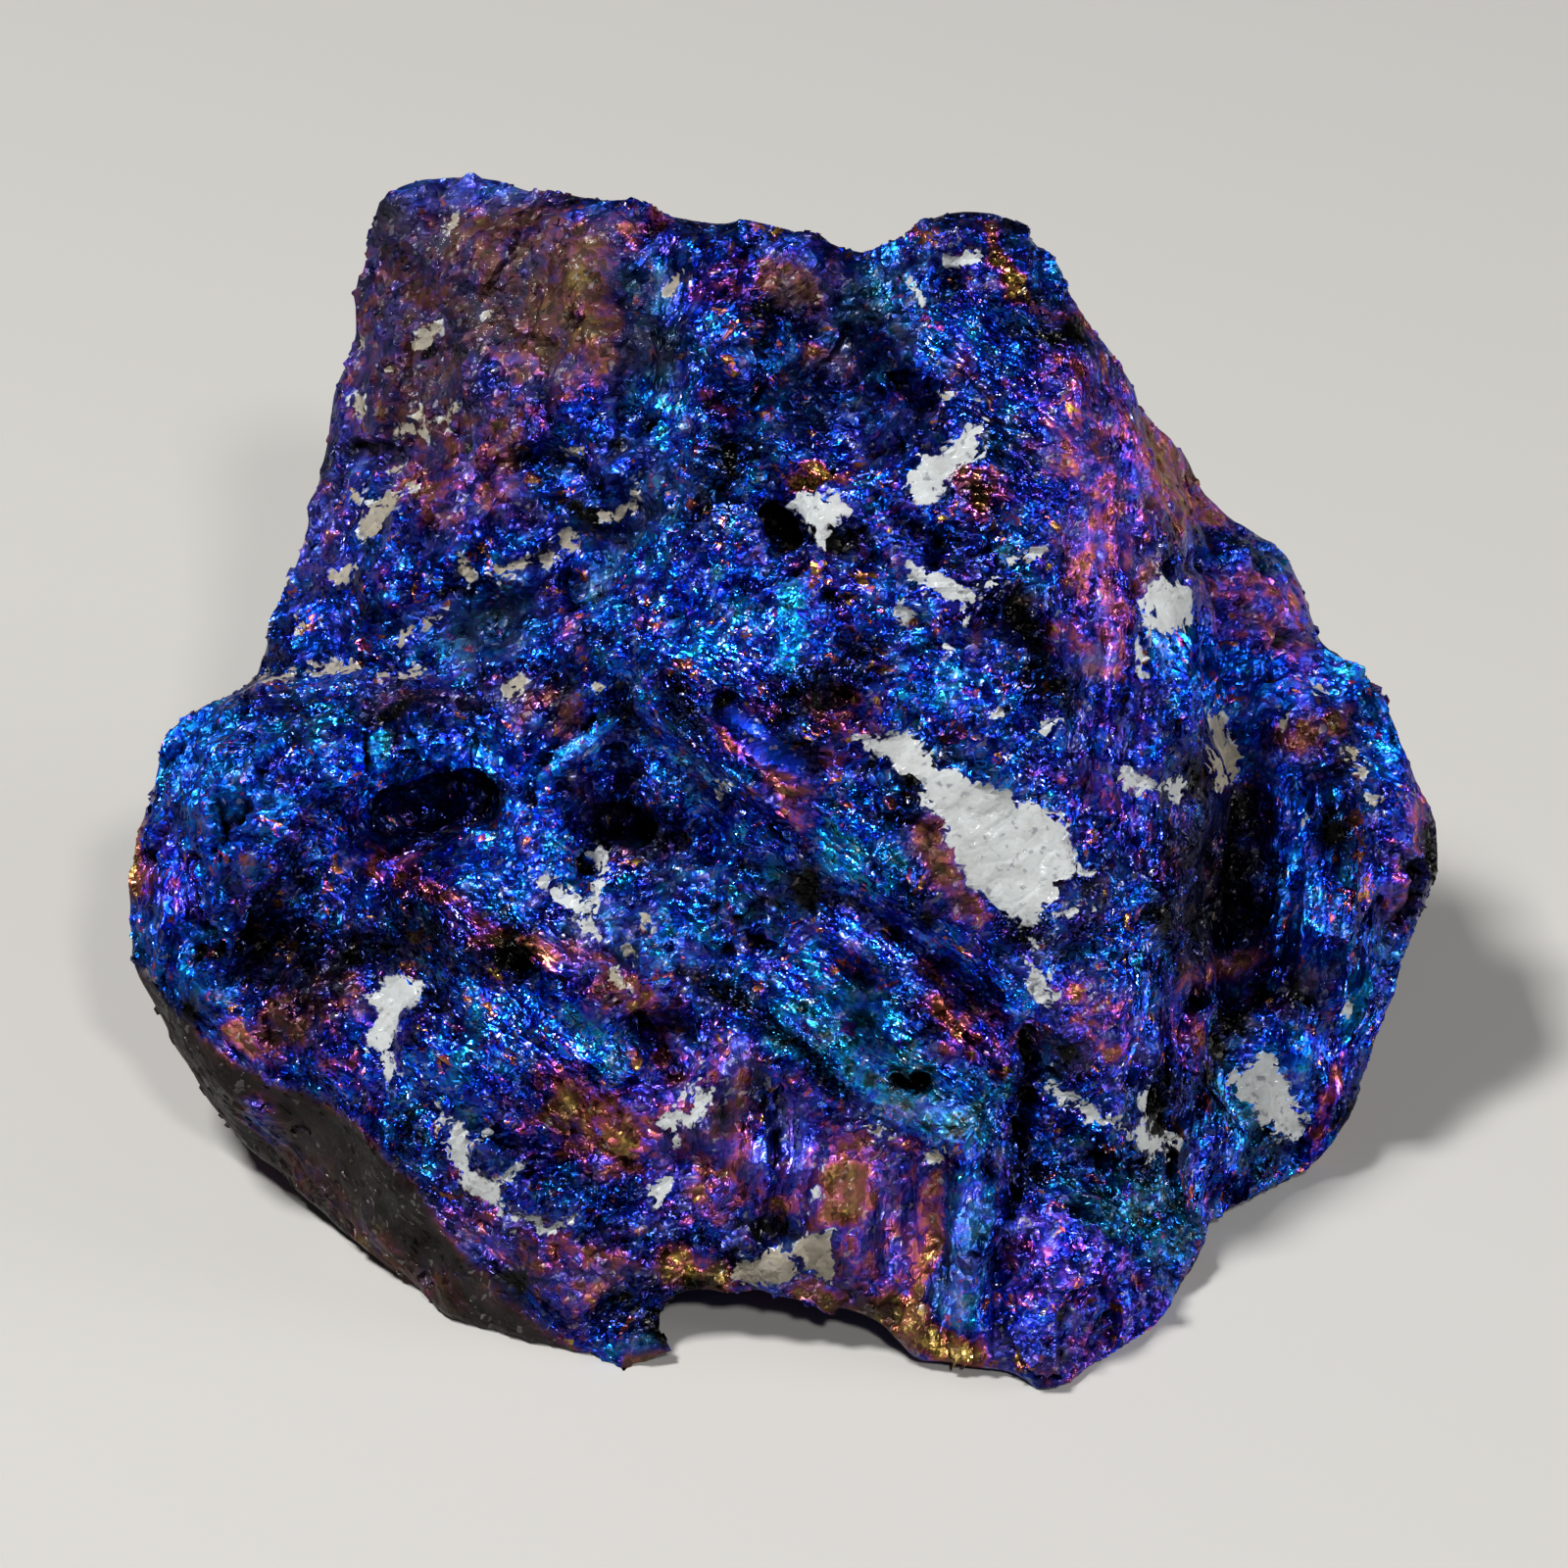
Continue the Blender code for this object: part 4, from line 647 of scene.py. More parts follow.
# %% Two runs of fibres
RUNS = {
    "upright": (84.0, 4.2, [
        ("14 17.5, 15 5, 15.8 -1.5", 2.6), ("17 -10, 19 -17", 2.4), ("-2 -15, 1 -20, 5 -20", 2.6),
        ("9.4 -17, 7.6 -25", 2.0), ("-28.4 -5, -28 -9", 1.2), ("-5 24, -5.6 18", 1.2),
        ("24.5 -2, 25.4 -13", 2.4),
    ]),
    "slanting": (-38.0, 3.4, [
        ("-3 4, 4 -8", 3.2), ("1 -10.6, 9.8 -14.6", 2.4), ("-19 -3, -11 -9", 2.8),
        ("-28 -11, -12 -25", 2.4), ("6 -7.4, 12 -12", 2.0), ("9 20, 12 14", 2.6), ("-17 -11, -10 -14", 2.6),
    ]),
}
NO_RUN = 0.05  # gives grains some direction where nothing rules
print("runs of fibres:", ", ".join(RUNS))

# %% Where each run rules, and the fibres there
run_x, run_v = nudged(amount=0.9, size=2.2, start=(1.0, 8.0, 3.0))
ruled = {}
for name, (angle, length, stretches) in RUNS.items():
    ruled[name] = np.zeros(len(points))
    for path, reach in stretches:
        near = front * eased(away(run_x, run_v, path_of(path)), 1.5 * reach, 0.5 * reach)
        ruled[name] = np.maximum(ruled[name], near)
both = np.maximum(ruled["upright"] + ruled["slanting"], 1.0)
fibre = NO_RUN * np.tile(across, (len(points), 1))
drawn = np.ones(len(points))
for name, (angle, length, stretches) in RUNS.items():
    ruled[name] /= both
    turn = math.radians(angle)
    fibre += np.outer(ruled[name], math.cos(turn) * across + math.sin(turn) * upward)
    drawn += (length - 1.0) * ruled[name]
    print("the", name, "fibres rule", round(100 * float((ruled[name] > 0.5).mean())), "percent of the skin")

# %% [markdown]
# ## Hackly relief
#
# Bornite and chalcopyrite have no good cleavage, so they break hackly: into small facets and crumples that
# tilt every way, like foil that was pressed into a ball. Cells of noise give that shape. In the larger
# cells the skin follows one random tilt, so they are flat and meet in steps. In the smaller ones it is a
# dimple, so they meet in thin ridges. Along a run of fibres the cells are drawn out. A few cuts follow what
# the show face has: a smooth groove, holes, and gashes.

# %% Facets, crumples and cuts
FACETS = ((4.2, 0.7), (2.1, 0.34))  # the size of a cell and how far its edge stands out
CRUMPLES = ((1.6, 0.5), (0.85, 0.3))  # the size of a dimple and its depth
RIM_CALM = 0.9  # the share of the relief that is taken off where the skin turns away from the eye
BEND = 0.5  # how far noise bends the cells, in sizes of a cell
FACET_TILT = 2.0
FACET_STEP = 0.35  # how much one facet as a whole may stand over the next
BEND_RATE = 0.7  # swellings of that noise for each size of a cell
DIMPLE_LEVEL = 0.42  # what the noise of a dimple gives where the skin stays at its height
TILT_SPREAD = 43.7  # how far apart the middles of the cells are read in the noise that tilts them
UNDERCUT_ROUNDS = 4  # rounds of smoothing
HOLLOW_ROUNDS = 14  # more of them, to tell what lies lower than its surroundings
INSET = 0.01  # how far inside the solid's box every point stays, in millimetres
BASE_REACH = 0.12  # what is as near as this to the floor, in millimetres, is laid flat on it
CUTS = [
    # what it is, its path, its half width, how deep it goes, all in millimetres
    ("smooth groove", "-2.7 3.6, -0.9 2.2, 1.4 0.7", 0.65, 0.5),
    ("hole above the middle", "-0.5 12.2, -0.1 11.3", 0.5, 1.3),
    ("hole under the brow", "-7.4 -1.6, -6.6 -2", 0.7, 0.7),
    ("hole beside the fork", "-9 -3.6", 0.5, 0.7),
    ("mouth under the hump", "5.2 -13.6, 6.3 -13.8", 0.27, 1.1),
    ("hole on the right crest", "19 10.1", 0.5, 0.7),
    ("crease over the seam", "11.2 -11.4, 11.5 -12.8, 11.1 -14.4", 0.35, 0.55),
    ("hollow in the slab", "-11.3 14.8, -8.8 13.8", 0.8, 0.3),
    ("long pit", "-18 -1.5, -14.2 -0.6", 1.1, 0.7),
    ("round pit", "2.2 4", 0.6, 0.5),
    ("gash over the notch", "-6.7 -10.8, -5 -13.2", 0.4, 0.5),
    ("diagonal groove", "5 -7, 7.6 -9.4, 11.5 -12.6", 0.5, 0.45),
    ("seam of the corner block", "11.2 -14.4, 10.9 -17, 10.5 -19.8", 0.3, 0.5),
    ("trench under the slab", "-13 7.4, -9 9.4, -6.8 12.4", 0.7, 0.5),
    ("crack over the belly", "-11.9 -1.4, -11.4 0.8, -9 3", 0.3, 0.4),
    ("crack of the slanting blue", "-5 -8.6, -1 -10.4, 3 -14.6", 0.35, 0.5),
    ("step over the corner block", "11.4 -17.6, 14.2 -20, 17.2 -22", 0.35, 0.45),
    # a depth below 0 raises the skin
    ("blue violet knob", "-3.4 21, -1.4 19.2", 1.2, -0.45),
    ("cyan knob", "0.3 8.4, 0.5 6.4", 0.8, -0.35),
    ("pale stripe of the belly", "-8.1 2.6, -10.9 0.1, -11.4 -2.2", 0.3, -0.3),
    ("fin", "8.8 -18.6, 7.8 -24.4", 0.6, -0.4),
    ("rib of the copper block", "1.6 -17.4, 1.4 -20.4", 0.3, -0.35),
    ("rib by the strip", "6.6 -17.6, 6.4 -22", 0.35, -0.35),
]
print(len(CUTS), "cuts and ribs")


# %% Patterns of facets and of crumples
def laid_along(points, angle, length):
    """Turns points to the view and squeezes them along fibres, so that what is made there comes out drawn."""
    turn = math.radians(angle)
    along = math.cos(turn) * across + math.sin(turn) * upward
    side = -math.sin(turn) * across + math.cos(turn) * upward
    return np.stack([points @ along / length, points @ side, points @ outward], axis=1)


def facets(points, size, start):
    """Gives each point's height on its flat cell, from about -1 to 1."""
    heights = np.empty(len(points))
    for index, p in enumerate(points):
        place = Vector(p) / size + start
        middle = noise.voronoi(place)[1][0]
        tilt = noise.noise_vector(middle * TILT_SPREAD)
        heights[index] = FACET_TILT * tilt.dot(place - middle) + FACET_STEP * tilt.x
    return heights


def crumples(points, size, start):
    """Gives each point's height in a dimple: low in its middle, and high on the ridge around it."""
    heights = np.empty(len(points))
    for index, p in enumerate(points):
        place = Vector(p) / size + start
        place += BEND * noise.noise_vector(place * BEND_RATE)
        heights[index] = noise.voronoi(place)[0][0] - DIMPLE_LEVEL
    return heights


def along_the_break(pattern, size, start):
    """Mixes a pattern without direction with the same pattern drawn out along each run of fibres."""
    plain = 1.0 - ruled["upright"] - ruled["slanting"]
    mixed = plain * pattern(points, size, start)
    for name, (angle, length, stretches) in RUNS.items():
        mixed += ruled[name] * pattern(laid_along(points, angle, length), size, start)
    return mixed


# %% Raising the relief and cutting into it
calm = above_base * (1.0 - 0.8 * eased(gangue, -0.15, 0.25))
calm *= 1.0 - 0.5 * dull
calm *= 1.0 - RIM_CALM * (1.0 - eased(np.abs(smooth_facing @ outward), 0.1, 0.5))
cut_x, cut_v = nudged(amount=0.25, size=1.4, start=(9.0, 4.0, 2.0))
smooth_cut = eased(away(cut_x, cut_v, path_of(CUTS[0][1])), 0.5, 0.8)
calm *= 1.0 - front * (1.0 - smooth_cut)
height = np.zeros(len(points))
for number, (size, amount) in enumerate(FACETS):
    height += amount * along_the_break(facets, size, Vector((number + 0.5, 2.0, 5.0)))
for number, (size, amount) in enumerate(CRUMPLES):
    height += amount * along_the_break(crumples, size, Vector((4.0, number + 0.5, 1.0)))
height *= calm
# On the dark undercut the steps of the facets cross the net at a shallow angle, and would show as rows of
# little ribs, so the relief is evened out there.
undercut = eased(dark, 0.84, 0.94)
height += undercut * (smoothed(height, links, UNDERCUT_ROUNDS, push=0.0) - height)
for name, path, half_width, depth in CUTS:
    off_the_cut = eased(away(cut_x, cut_v, path_of(path)), 0.35 * half_width, 1.5 * half_width)
    height -= depth * front * (1.0 - off_the_cut)
points = points + smooth_facing * height[:, None]


def kept_in(points):
    """Holds points inside the box of the solid, so that the lump keeps its size and stands flat."""
    return np.clip(points, low + INSET, high - INSET)


flat_base = points[:, 2] < BASE_REACH
points = kept_in(points)
points[flat_base, 2] = low[2]
put(body.data, points)
hollow = height - smoothed(height, links, HOLLOW_ROUNDS, push=0.0)
print("relief runs from", round(float(height.min()), 2), "to", round(float(height.max()), 2), "mm")

# %% [markdown]
# ## What the net remembers
#
# Attributes carry these numbers from the net to the material, and to the grains, which take them from the
# skin that they grow on.

# %% Writing the attributes
def remember(mesh, name, values):
    """Writes a number, or a direction, for each point of the mesh."""
    kind = "FLOAT" if values.ndim == 1 else "FLOAT_VECTOR"
    made = mesh.attributes.new(name, kind, "POINT")
    made.data.foreach_set("value" if values.ndim == 1 else "vector", values.astype(np.float32).ravel())


matt = 1.0 - 0.5 * dull
off_rim = 0.2 + 0.8 * eased(np.abs(smooth_facing @ outward), 0.1, 0.45)
grainy = above_base * off_rim * matt * (1.0 - eased(gangue, -0.25, 0.0)) * (1.0 - smooth)
remembered = {
    "film": film, "dull": dull, "dark": dark, "gangue": np.clip(gangue, -1.0, 1.0),
    "beige": np.clip(beige, -1.0, 1.0), "hollow": hollow, "grain_tone": np.full(len(points), 0.5),
    "grainy": grainy, "face_grainy": grainy * front, "back_grainy": grainy * (1.0 - front),
    "smooth": smooth, "crystal_lean": crystal_lean, "flash": flash, "drawn": drawn, "fibre": fibre, **ruled,
}
for name, values in remembered.items():
    remember(body.data, name, values)
body.data.shade_flat()
print("the body remembers", ", ".join(remembered))

# %% [markdown]
# ## The tarnished ore
#
# The material is copper iron sulphide under its film. A metal reflects in its own colour, so the film's
# colour is the base colour of a mostly metallic surface. Gangue is drawn in the same material, because its
# edge is finer than the net. One function adds every node: its inputs are given in turn, or by name where
# some are left as they are, and each is a number, a colour, or a node to link.

# %% Colours, and one helper for nodes
MATH, VECTORS, MIX = "ShaderNodeMath", "ShaderNodeVectorMath", "ShaderNodeMix"


def colour(code):
    """Turns an sRGB hex colour into linear red, green, blue and alpha."""
    channels = [int(code[i : i + 2], 16) / 255.0 for i in (1, 3, 5)]
    return [c / 12.92 if c <= 0.04045 else ((c + 0.055) / 1.055) ** 2.4 for c in channels] + [1.0]


def add(tree, kind, inputs=(), **settings):
    """Adds one node. inputs fill the sockets that are in use in turn, or a dict fills them by name or place.

    Each is a value or a socket to link, or a node, which gives the first of its outputs that is in use.
    """
    node = tree.nodes.new(kind)
    for name, value in settings.items():
        setattr(node, name, value)
    if not isinstance(inputs, dict):
        in_use = [place for place, socket in enumerate(node.inputs) if socket.enabled]
        inputs = dict(zip(in_use, inputs))
    for socket, value in inputs.items():
        if isinstance(value, bpy.types.Node):
            value = next(output for output in value.outputs if output.enabled)
        if isinstance(value, bpy.types.NodeSocket):
            tree.links.new(value, node.inputs[socket])
        else:
            node.inputs[socket].default_value = value
    return node


# %% [markdown]
# ## Patterns in the ore
#
# Every pattern is read at the place on the lump, so it stays on the stone when the eye moves. The attributes
# bring in what the net remembers, and noises of several widths let each of those numbers drift.

# %% Attributes and noises
CRINKLE = 0.42  # the width of a crinkle of the break, in millimetres
HERE = (0.0, 0.0, 0.0)
NOISES = {
    # width in millimetres, detail, roughness, distortion, and a step that takes it away from the others
    "bend": (1.25 * CRINKLE, 1.0, 0.5, 0.0, HERE),
    "drift": (3.2, 3.0, 0.5, 0.0, HERE),
    "fleck": (0.9, 3.0, 0.5, 0.0, HERE),
    "grit": (0.45, 3.0, 0.5, 0.0, HERE),
    "stain": (1.5, 3.0, 0.5, 0.0, (0.3, 0.1, 0.2)),
    "chip": (1.3, 5.0, 0.7, 0.6, (0.2, 0.8, 0.5)),
    "dusk": (4.0, 4.0, 0.5, 0.0, (0.7, 0.4, 0.1)),
}
ore = bpy.data.materials.new("tarnished_bornite")
ore.use_nodes = True
tree = ore.node_tree
tree.nodes.clear()
place = add(tree, "ShaderNodeTexCoord").outputs["Object"]
skin = {}
for name in ("film", "dull", "dark", "smooth", "gangue", "beige", "hollow", "flash", "grain_tone", *RUNS):
    skin[name] = add(tree, "ShaderNodeAttribute", attribute_name=name).outputs["Fac"]
noises = []
for name, (width, detail, roughness, distortion, step) in NOISES.items():
    spot = add(tree, VECTORS, (place, step), operation="ADD")
    noises.append(add(tree, "ShaderNodeTexNoise", {
        "Vector": spot, "Scale": 1 / (width * MM), "Detail": detail, "Roughness": roughness,
        "Distortion": distortion,
    }))
bend, drift, fleck, grit, stain, chip, dusk = noises
print("the material reads", len(skin), "attributes and", len(noises), "noises")


# %% Four ways to put patterns together
def summed(start, *parts):
    """Adds up patterns, each times its amount."""
    for pattern, amount in parts:
        start = add(tree, MATH, (pattern, amount, start), operation="MULTIPLY_ADD")
    return start


def above(value, start=0.0, gain=1.0):
    """Gives how far a value is above a start, times a gain, kept from 0 to 1."""
    over = add(tree, MATH, (value, start), operation="SUBTRACT")
    return add(tree, MATH, (over, gain), operation="MULTIPLY", use_clamp=True)


def held(value, by, slope, base):
    """Multiplies a value by a share from 0 to 1, which is a straight line of another value."""
    share = add(tree, MATH, (by, slope, base), operation="MULTIPLY_ADD", use_clamp=True)
    return add(tree, MATH, (value, share), operation="MULTIPLY")


def dusted(base, share, amount, code):
    """Lays a colour over a base by a share times an amount."""
    cover = add(tree, MATH, (share, amount), operation="MULTIPLY")
    return add(tree, MIX, (cover, base, colour(code)), data_type="RGBA")


# %% [markdown]
# ## Flakes
#
# A Voronoi pattern with one value for each cell gives every flake its own colour, roughness and tilt, which
# is what makes broken ore glitter. In a cell the skin leans away from the cell's middle, so that it is a
# dimple. Where the break runs along fibres, the pattern is read at places that are turned to the view and
# squeezed along them, and its lean is turned back.

# %% Crinkles, sheaves and grit
SHEAF = 1.8  # the width of a group of crinkles that lean the same way, and glint together
PLAIN = (0.0, 1.2)  # the angle and the length of flakes where the break has no direction
GRIT = (40.0, 1.6)  # the same for the grit on the flakes
GRIT_WIDTH = 0.45 * CRINKLE
SHEAVES = (-30.0, 1.5)  # and for the sheaves
MIDDLE = (0.5, 0.5, 0.5)  # of a random colour

bending = add(tree, VECTORS, (bend.outputs["Color"], MIDDLE), operation="SUBTRACT")
bending = add(tree, VECTORS, (bending, 1.5 * CRINKLE * MM), operation="SCALE")


def turned(angle):
    """Gives the rotation to a view whose x runs along fibres of this angle."""
    return FACE_ELEVATION - math.radians(90.0), 0.0, -math.radians(angle)


def laid(angle, length):
    """Gives the place turned to the view and squeezed along fibres."""
    on_view = add(tree, "ShaderNodeMapping", {"Vector": place, "Rotation": turned(angle)})
    return add(tree, VECTORS, (on_view, (1.0 / length, 1.0, 1.0)), operation="MULTIPLY")


def stood(vector, angle, length):
    """Turns a lean in such a place back."""
    squeezed = add(tree, VECTORS, (vector, (1.0 / length, 1.0, 1.0)), operation="MULTIPLY")
    return add(
        tree, "ShaderNodeMapping", {"Vector": squeezed, "Rotation": turned(angle)}, vector_type="TEXTURE"
    )


def dimples(vector, width):
    """Gives the lean of the skin in dimples, and a random colour for each dimple."""
    bent = add(tree, VECTORS, (vector, bending), operation="ADD")
    cell = add(tree, "ShaderNodeTexVoronoi", {"Vector": bent, "Scale": 1 / (width * MM)})
    from_middle = add(tree, VECTORS, (bent, cell.outputs["Position"]), operation="SUBTRACT")
    lean = add(tree, VECTORS, (from_middle, 1 / (width * MM)), operation="SCALE")
    return lean, cell.outputs["Color"]


shares = {}
spot = laid(*PLAIN)
for name, (angle, length, stretches) in RUNS.items():
    jagged = summed(-0.4, (skin[name], 1.0), (bend, 0.8))
    shares[name] = add(tree, MATH, (jagged, 0.5), operation="GREATER_THAN")
    spot = add(tree, MIX, (shares[name], spot, laid(angle, length)), data_type="VECTOR")
spot_lean, flake = dimples(spot, CRINKLE)
flake_lean = stood(spot_lean, *PLAIN)
for name, (angle, length, stretches) in RUNS.items():
    turned_back = stood(spot_lean, angle, length)
    flake_lean = add(tree, MIX, (shares[name], flake_lean, turned_back), data_type="VECTOR")
grit_lean, grit_flake = dimples(laid(*GRIT), GRIT_WIDTH)
grit_lean = stood(grit_lean, *GRIT)
sheaf = dimples(laid(*SHEAVES), SHEAF)[1]
red, green, blue = add(tree, "ShaderNodeSeparateColor", (flake,)).outputs
grit_red, grit_green, grit_blue = add(tree, "ShaderNodeSeparateColor", (grit_flake,)).outputs
print("the material draws", len(NOISES), "noises and three sizes of flake")

# %% [markdown]
# ## The film
#
# The film's thickness swings about its zone's value by noise and from flake to flake, less so where the break
# is smooth, and reads its colour from one ramp. Where a flake has chipped off, the film is young and thin.

# %% Thickness and colour
FILM_COLOURS = [
    (0.00, "#C8A650"), (0.08, "#9A6A3C"), (0.15, "#A05C40"), (0.22, "#B85C60"), (0.30, "#A848A0"),
    (0.38, "#5838C8"), (0.46, "#1824B0"), (0.56, "#0838D8"), (0.66, "#0A62F0"), (0.76, "#148CFC"),
    (0.85, "#1CB0F4"), (0.92, "#0C6C7C"), (1.00, "#083848"),
]
swings = ((drift, 0.6), (fleck, 0.85), (red, 0.16), (skin["grain_tone"], 0.14))
swing = summed(-0.5 * sum(amount for pattern, amount in swings), *swings)
swing = held(swing, skin["smooth"], -0.6, 1.0)
chipped = summed(0.0, (chip, 1.0), (drift, 0.25), (green, 0.3))
chipped = held(above(chipped, 0.93, 16.0), skin["film"], 6.0, -2.1)
thickness = above(summed(0.0, (swing, 1.0), (chipped, -0.44), (skin["film"], 1.0)))
film_colour = add(tree, "ShaderNodeValToRGB", (thickness,))
stops = film_colour.color_ramp.elements
while len(stops) > 1:
    stops.remove(stops[-1])
for index, (position, code) in enumerate(FILM_COLOURS):
    stop = stops[0] if index == 0 else stops.new(position)
    stop.position = position
    stop.color = colour(code)
print("the film runs through", len(stops), "colours")

# %% [markdown]
# ## Weathering, painted shade and highlights, dust and rust
#
# Where the ore is weathered, its flakes are brown and plum. Pale flakes, a painted highlight colour that
# makes glints come out whitish, show only on a thick film. Painted shade darkens hollows, sheltered places
# and wide patches of noise, partly for darker ore, while the flashing patches are kept bright as painted
# light. Over that come dust and rust.

# %% What lies on the film, and painted shade and light
dull_here = above(summed(-0.95, (stain, 1.7), (skin["dull"], 1.0)))
weathered = add(tree, MIX, (green, colour("#241820"), colour("#7A5040")), data_type="RGBA")
weathered = add(tree, MIX, (0.4, weathered, film_colour), data_type="RGBA")
tarnish = add(tree, MIX, (dull_here, film_colour, weathered), data_type="RGBA")
# Painted highlight colour: random flakes are paler, so that their glints come out whitish.
pale = held(above(grit_blue, 0.78, 12.0), thickness, 5.0, -1.6)
pale = held(pale, skin["smooth"], -1.6, 1.0)
tarnish = dusted(tarnish, pale, 0.38, "#A4B0E6")

# Painted shade: the dark value and the hollows darken the colour, partly for darker ore, mostly as the shade
# that falls in sheltered places.
painted_shade_and_dark_ore = summed(1.0, (skin["dark"], -0.97))
painted_shade_and_dark_ore = add(tree, MATH, (painted_shade_and_dark_ore, summed(0.4, (green, 0.8))), operation="MULTIPLY")
painted_shade_and_dark_ore = held(painted_shade_and_dark_ore, skin["hollow"], 2.2, 0.8)
# Painted light and shade: a wide noise darkens patches of the colour, and the flashing and smooth places stay
# bright.
lit = above(summed(-1.7, (dusk, 5.0), (skin["flash"], 1.0), (skin["smooth"], 0.7)))
painted_shade_and_dark_ore = add(tree, MATH, (painted_shade_and_dark_ore, lit), operation="MULTIPLY")
tarnish = add(tree, MIX, (1.0, tarnish, painted_shade_and_dark_ore), data_type="RGBA", blend_type="MULTIPLY")

dust = held(above(grit_red, 0.955, 40.0), painted_shade_and_dark_ore, 0.5, 0.2)
tarnish = dusted(tarnish, dust, 0.8, "#A8A4A4")
rust = held(above(stain, 0.66, 14.0), painted_shade_and_dark_ore, 1.0, 0.1)
rust = held(rust, grit_green, 0.6, 0.2)
tarnish = dusted(tarnish, rust, 1.0, "#7A4A32")
print("with its rust the tarnish takes", len(tree.nodes), "nodes")

# %% [markdown]
# ## Gangue
#
# Calcite and quartz are chalky, matt and almost white, or beige where iron has stained them. The distance
# from the edge comes from the net, and noise and flakes make that edge crumble.

# %% Chalky patches
edge = summed(-0.96, (green, 0.4), (grit, 0.6), (fleck, 0.9))
chalk = above(summed(0.0, (edge, 1.0), (skin["gangue"], 1.0)), 0.0, 9.0)
stained = above(skin["beige"], -0.1, 9.0)
mottle = above(summed(-1.7, (grit, 1.2), (stain, 2.4)))
chalk_colour = add(tree, MIX, (stained, colour("#A2A6A6"), colour("#8A8270")), data_type="RGBA")
chalk_colour = dusted(chalk_colour, held(blue, stained, 0.35, 0.2), 1.0, "#5E5A54")
chalk_colour = dusted(chalk_colour, mottle, 0.55, "#86817C")
chalk_colour = dusted(chalk_colour, above(grit, 0.61, 12.0), 0.7, "#5A5C66")
surface_colour = add(tree, MIX, (chalk, tarnish, chalk_colour), data_type="RGBA")
print("with the gangue there are", len(tree.nodes), "nodes")

# %% [markdown]
# ## Metal, roughness and tilt
#
# Fresh ore is nearly all metal and shines, weathered ore less, and gangue isn't metal at all. Each flake, its
# grit and its sheaf tilt the skin, and in a flashing patch the crystals lean together instead of alone.

# %% The shader
uncovered = add(tree, MATH, (1.0, chalk), operation="SUBTRACT")
metallic = held(uncovered, dull_here, -0.6, 0.97)
ore_rough = summed(0.15, (dull_here, 0.45), (blue, 0.2), (skin["smooth"], 0.25))
chalk_rough = add(tree, MATH, (chalk, 0.85), operation="MULTIPLY")
roughness = add(tree, MATH, (ore_rough, chalk_rough), operation="MAXIMUM")


def leaning(start, *leans):
    """Adds leans to a direction, each times its amount."""
    for lean, amount in leans:
        step = add(tree, VECTORS, (lean, amount), operation="SCALE")
        start = add(tree, VECTORS, (start, step), operation="ADD")
    return start


flake_tilt = add(tree, VECTORS, (flake, MIDDLE), operation="SUBTRACT")
sheaf_tilt = add(tree, VECTORS, (sheaf, MIDDLE), operation="SUBTRACT")
alone = summed(1.3, (skin["flash"], -1.1))
leans = leaning(HERE, (flake_lean, 0.9), (flake_tilt, 0.35), (grit_lean, 0.4), (sheaf_tilt, alone))
loose = add(tree, MATH, (chalk, summed(-0.8, (stained, 0.3)), 1.0), operation="MULTIPLY_ADD")
loose = held(held(loose, dull_here, -0.6, 1.0), skin["smooth"], -0.85, 1.0)
normal = add(tree, "ShaderNodeNewGeometry").outputs["Normal"]
together = add(tree, "ShaderNodeAttribute", attribute_name="crystal_lean").outputs["Vector"]
tilted = leaning(normal, (leans, loose), (together, uncovered))
tilted = add(tree, VECTORS, (tilted,), operation="NORMALIZE")
shader = add(tree, "ShaderNodeBsdfPrincipled", {
    "Base Color": surface_colour, "Metallic": metallic, "Roughness": roughness, "Normal": tilted,
    "Coat Weight": 0.08, "Coat Roughness": 0.1, "Coat Normal": tilted,
})
add(tree, "ShaderNodeOutputMaterial", (shader,))
body.data.materials.clear()
body.data.materials.append(ore)
print("the ore's material has", len(tree.nodes), "nodes")

# %% [markdown]
# ## Grains
#
# Up close the break is made of grains of 0.2 to 0.5 mm that stand out of the skin. There are tens of
# thousands of them, and they follow the surface, so Geometry Nodes scatters them. Three small shapes, a
# three-sided, a four-sided and a pointed chip, are laid on points of the skin with even spacing. Every
# grain also keeps a random tone, so that its colour is a little off from its neighbours'.

# %% A group that takes the skin and lays points on it
PACKING = 1.6  # points thrown for each square of the spacing, before those that are too near are taken away
TURN_OF_A_GRAIN = 3.2  # either way, in radians, where there are no fibres
JOG = 0.28  # how far a corner of a chip is off its place, when the chip's radius is 1
CHIPS = ((3, 0.5), (4, 0.45), (5, 0.0))  # the sides of a chip and the radius of its top
CHANCES = {
    # a random number for each grain: the least and the most
    "tone": (0.0, 1.0), "spin": (-1.0, 1.0), "lean": (-1.0, 1.0), "roll": (-1.0, 1.0), "size": (0.55, 1.25),
    "height": (0.6, 1.3),
}
scatter = bpy.data.node_groups.new("grains on broken ore", "GeometryNodeTree")
for name, kind in (
    ("Geometry", "Geometry"), ("Spacing", "Float"), ("Size", "Float"), ("Height", "Float"), ("Tilt", "Float"),
    ("Where", "String"), ("Seed", "Int"), ("Finish", "Material"),
):
    scatter.interface.new_socket(name, in_out="INPUT", socket_type="NodeSocket" + kind)
scatter.interface.new_socket("Geometry", in_out="OUTPUT", socket_type="NodeSocketGeometry")
given = add(scatter, "NodeGroupInput").outputs

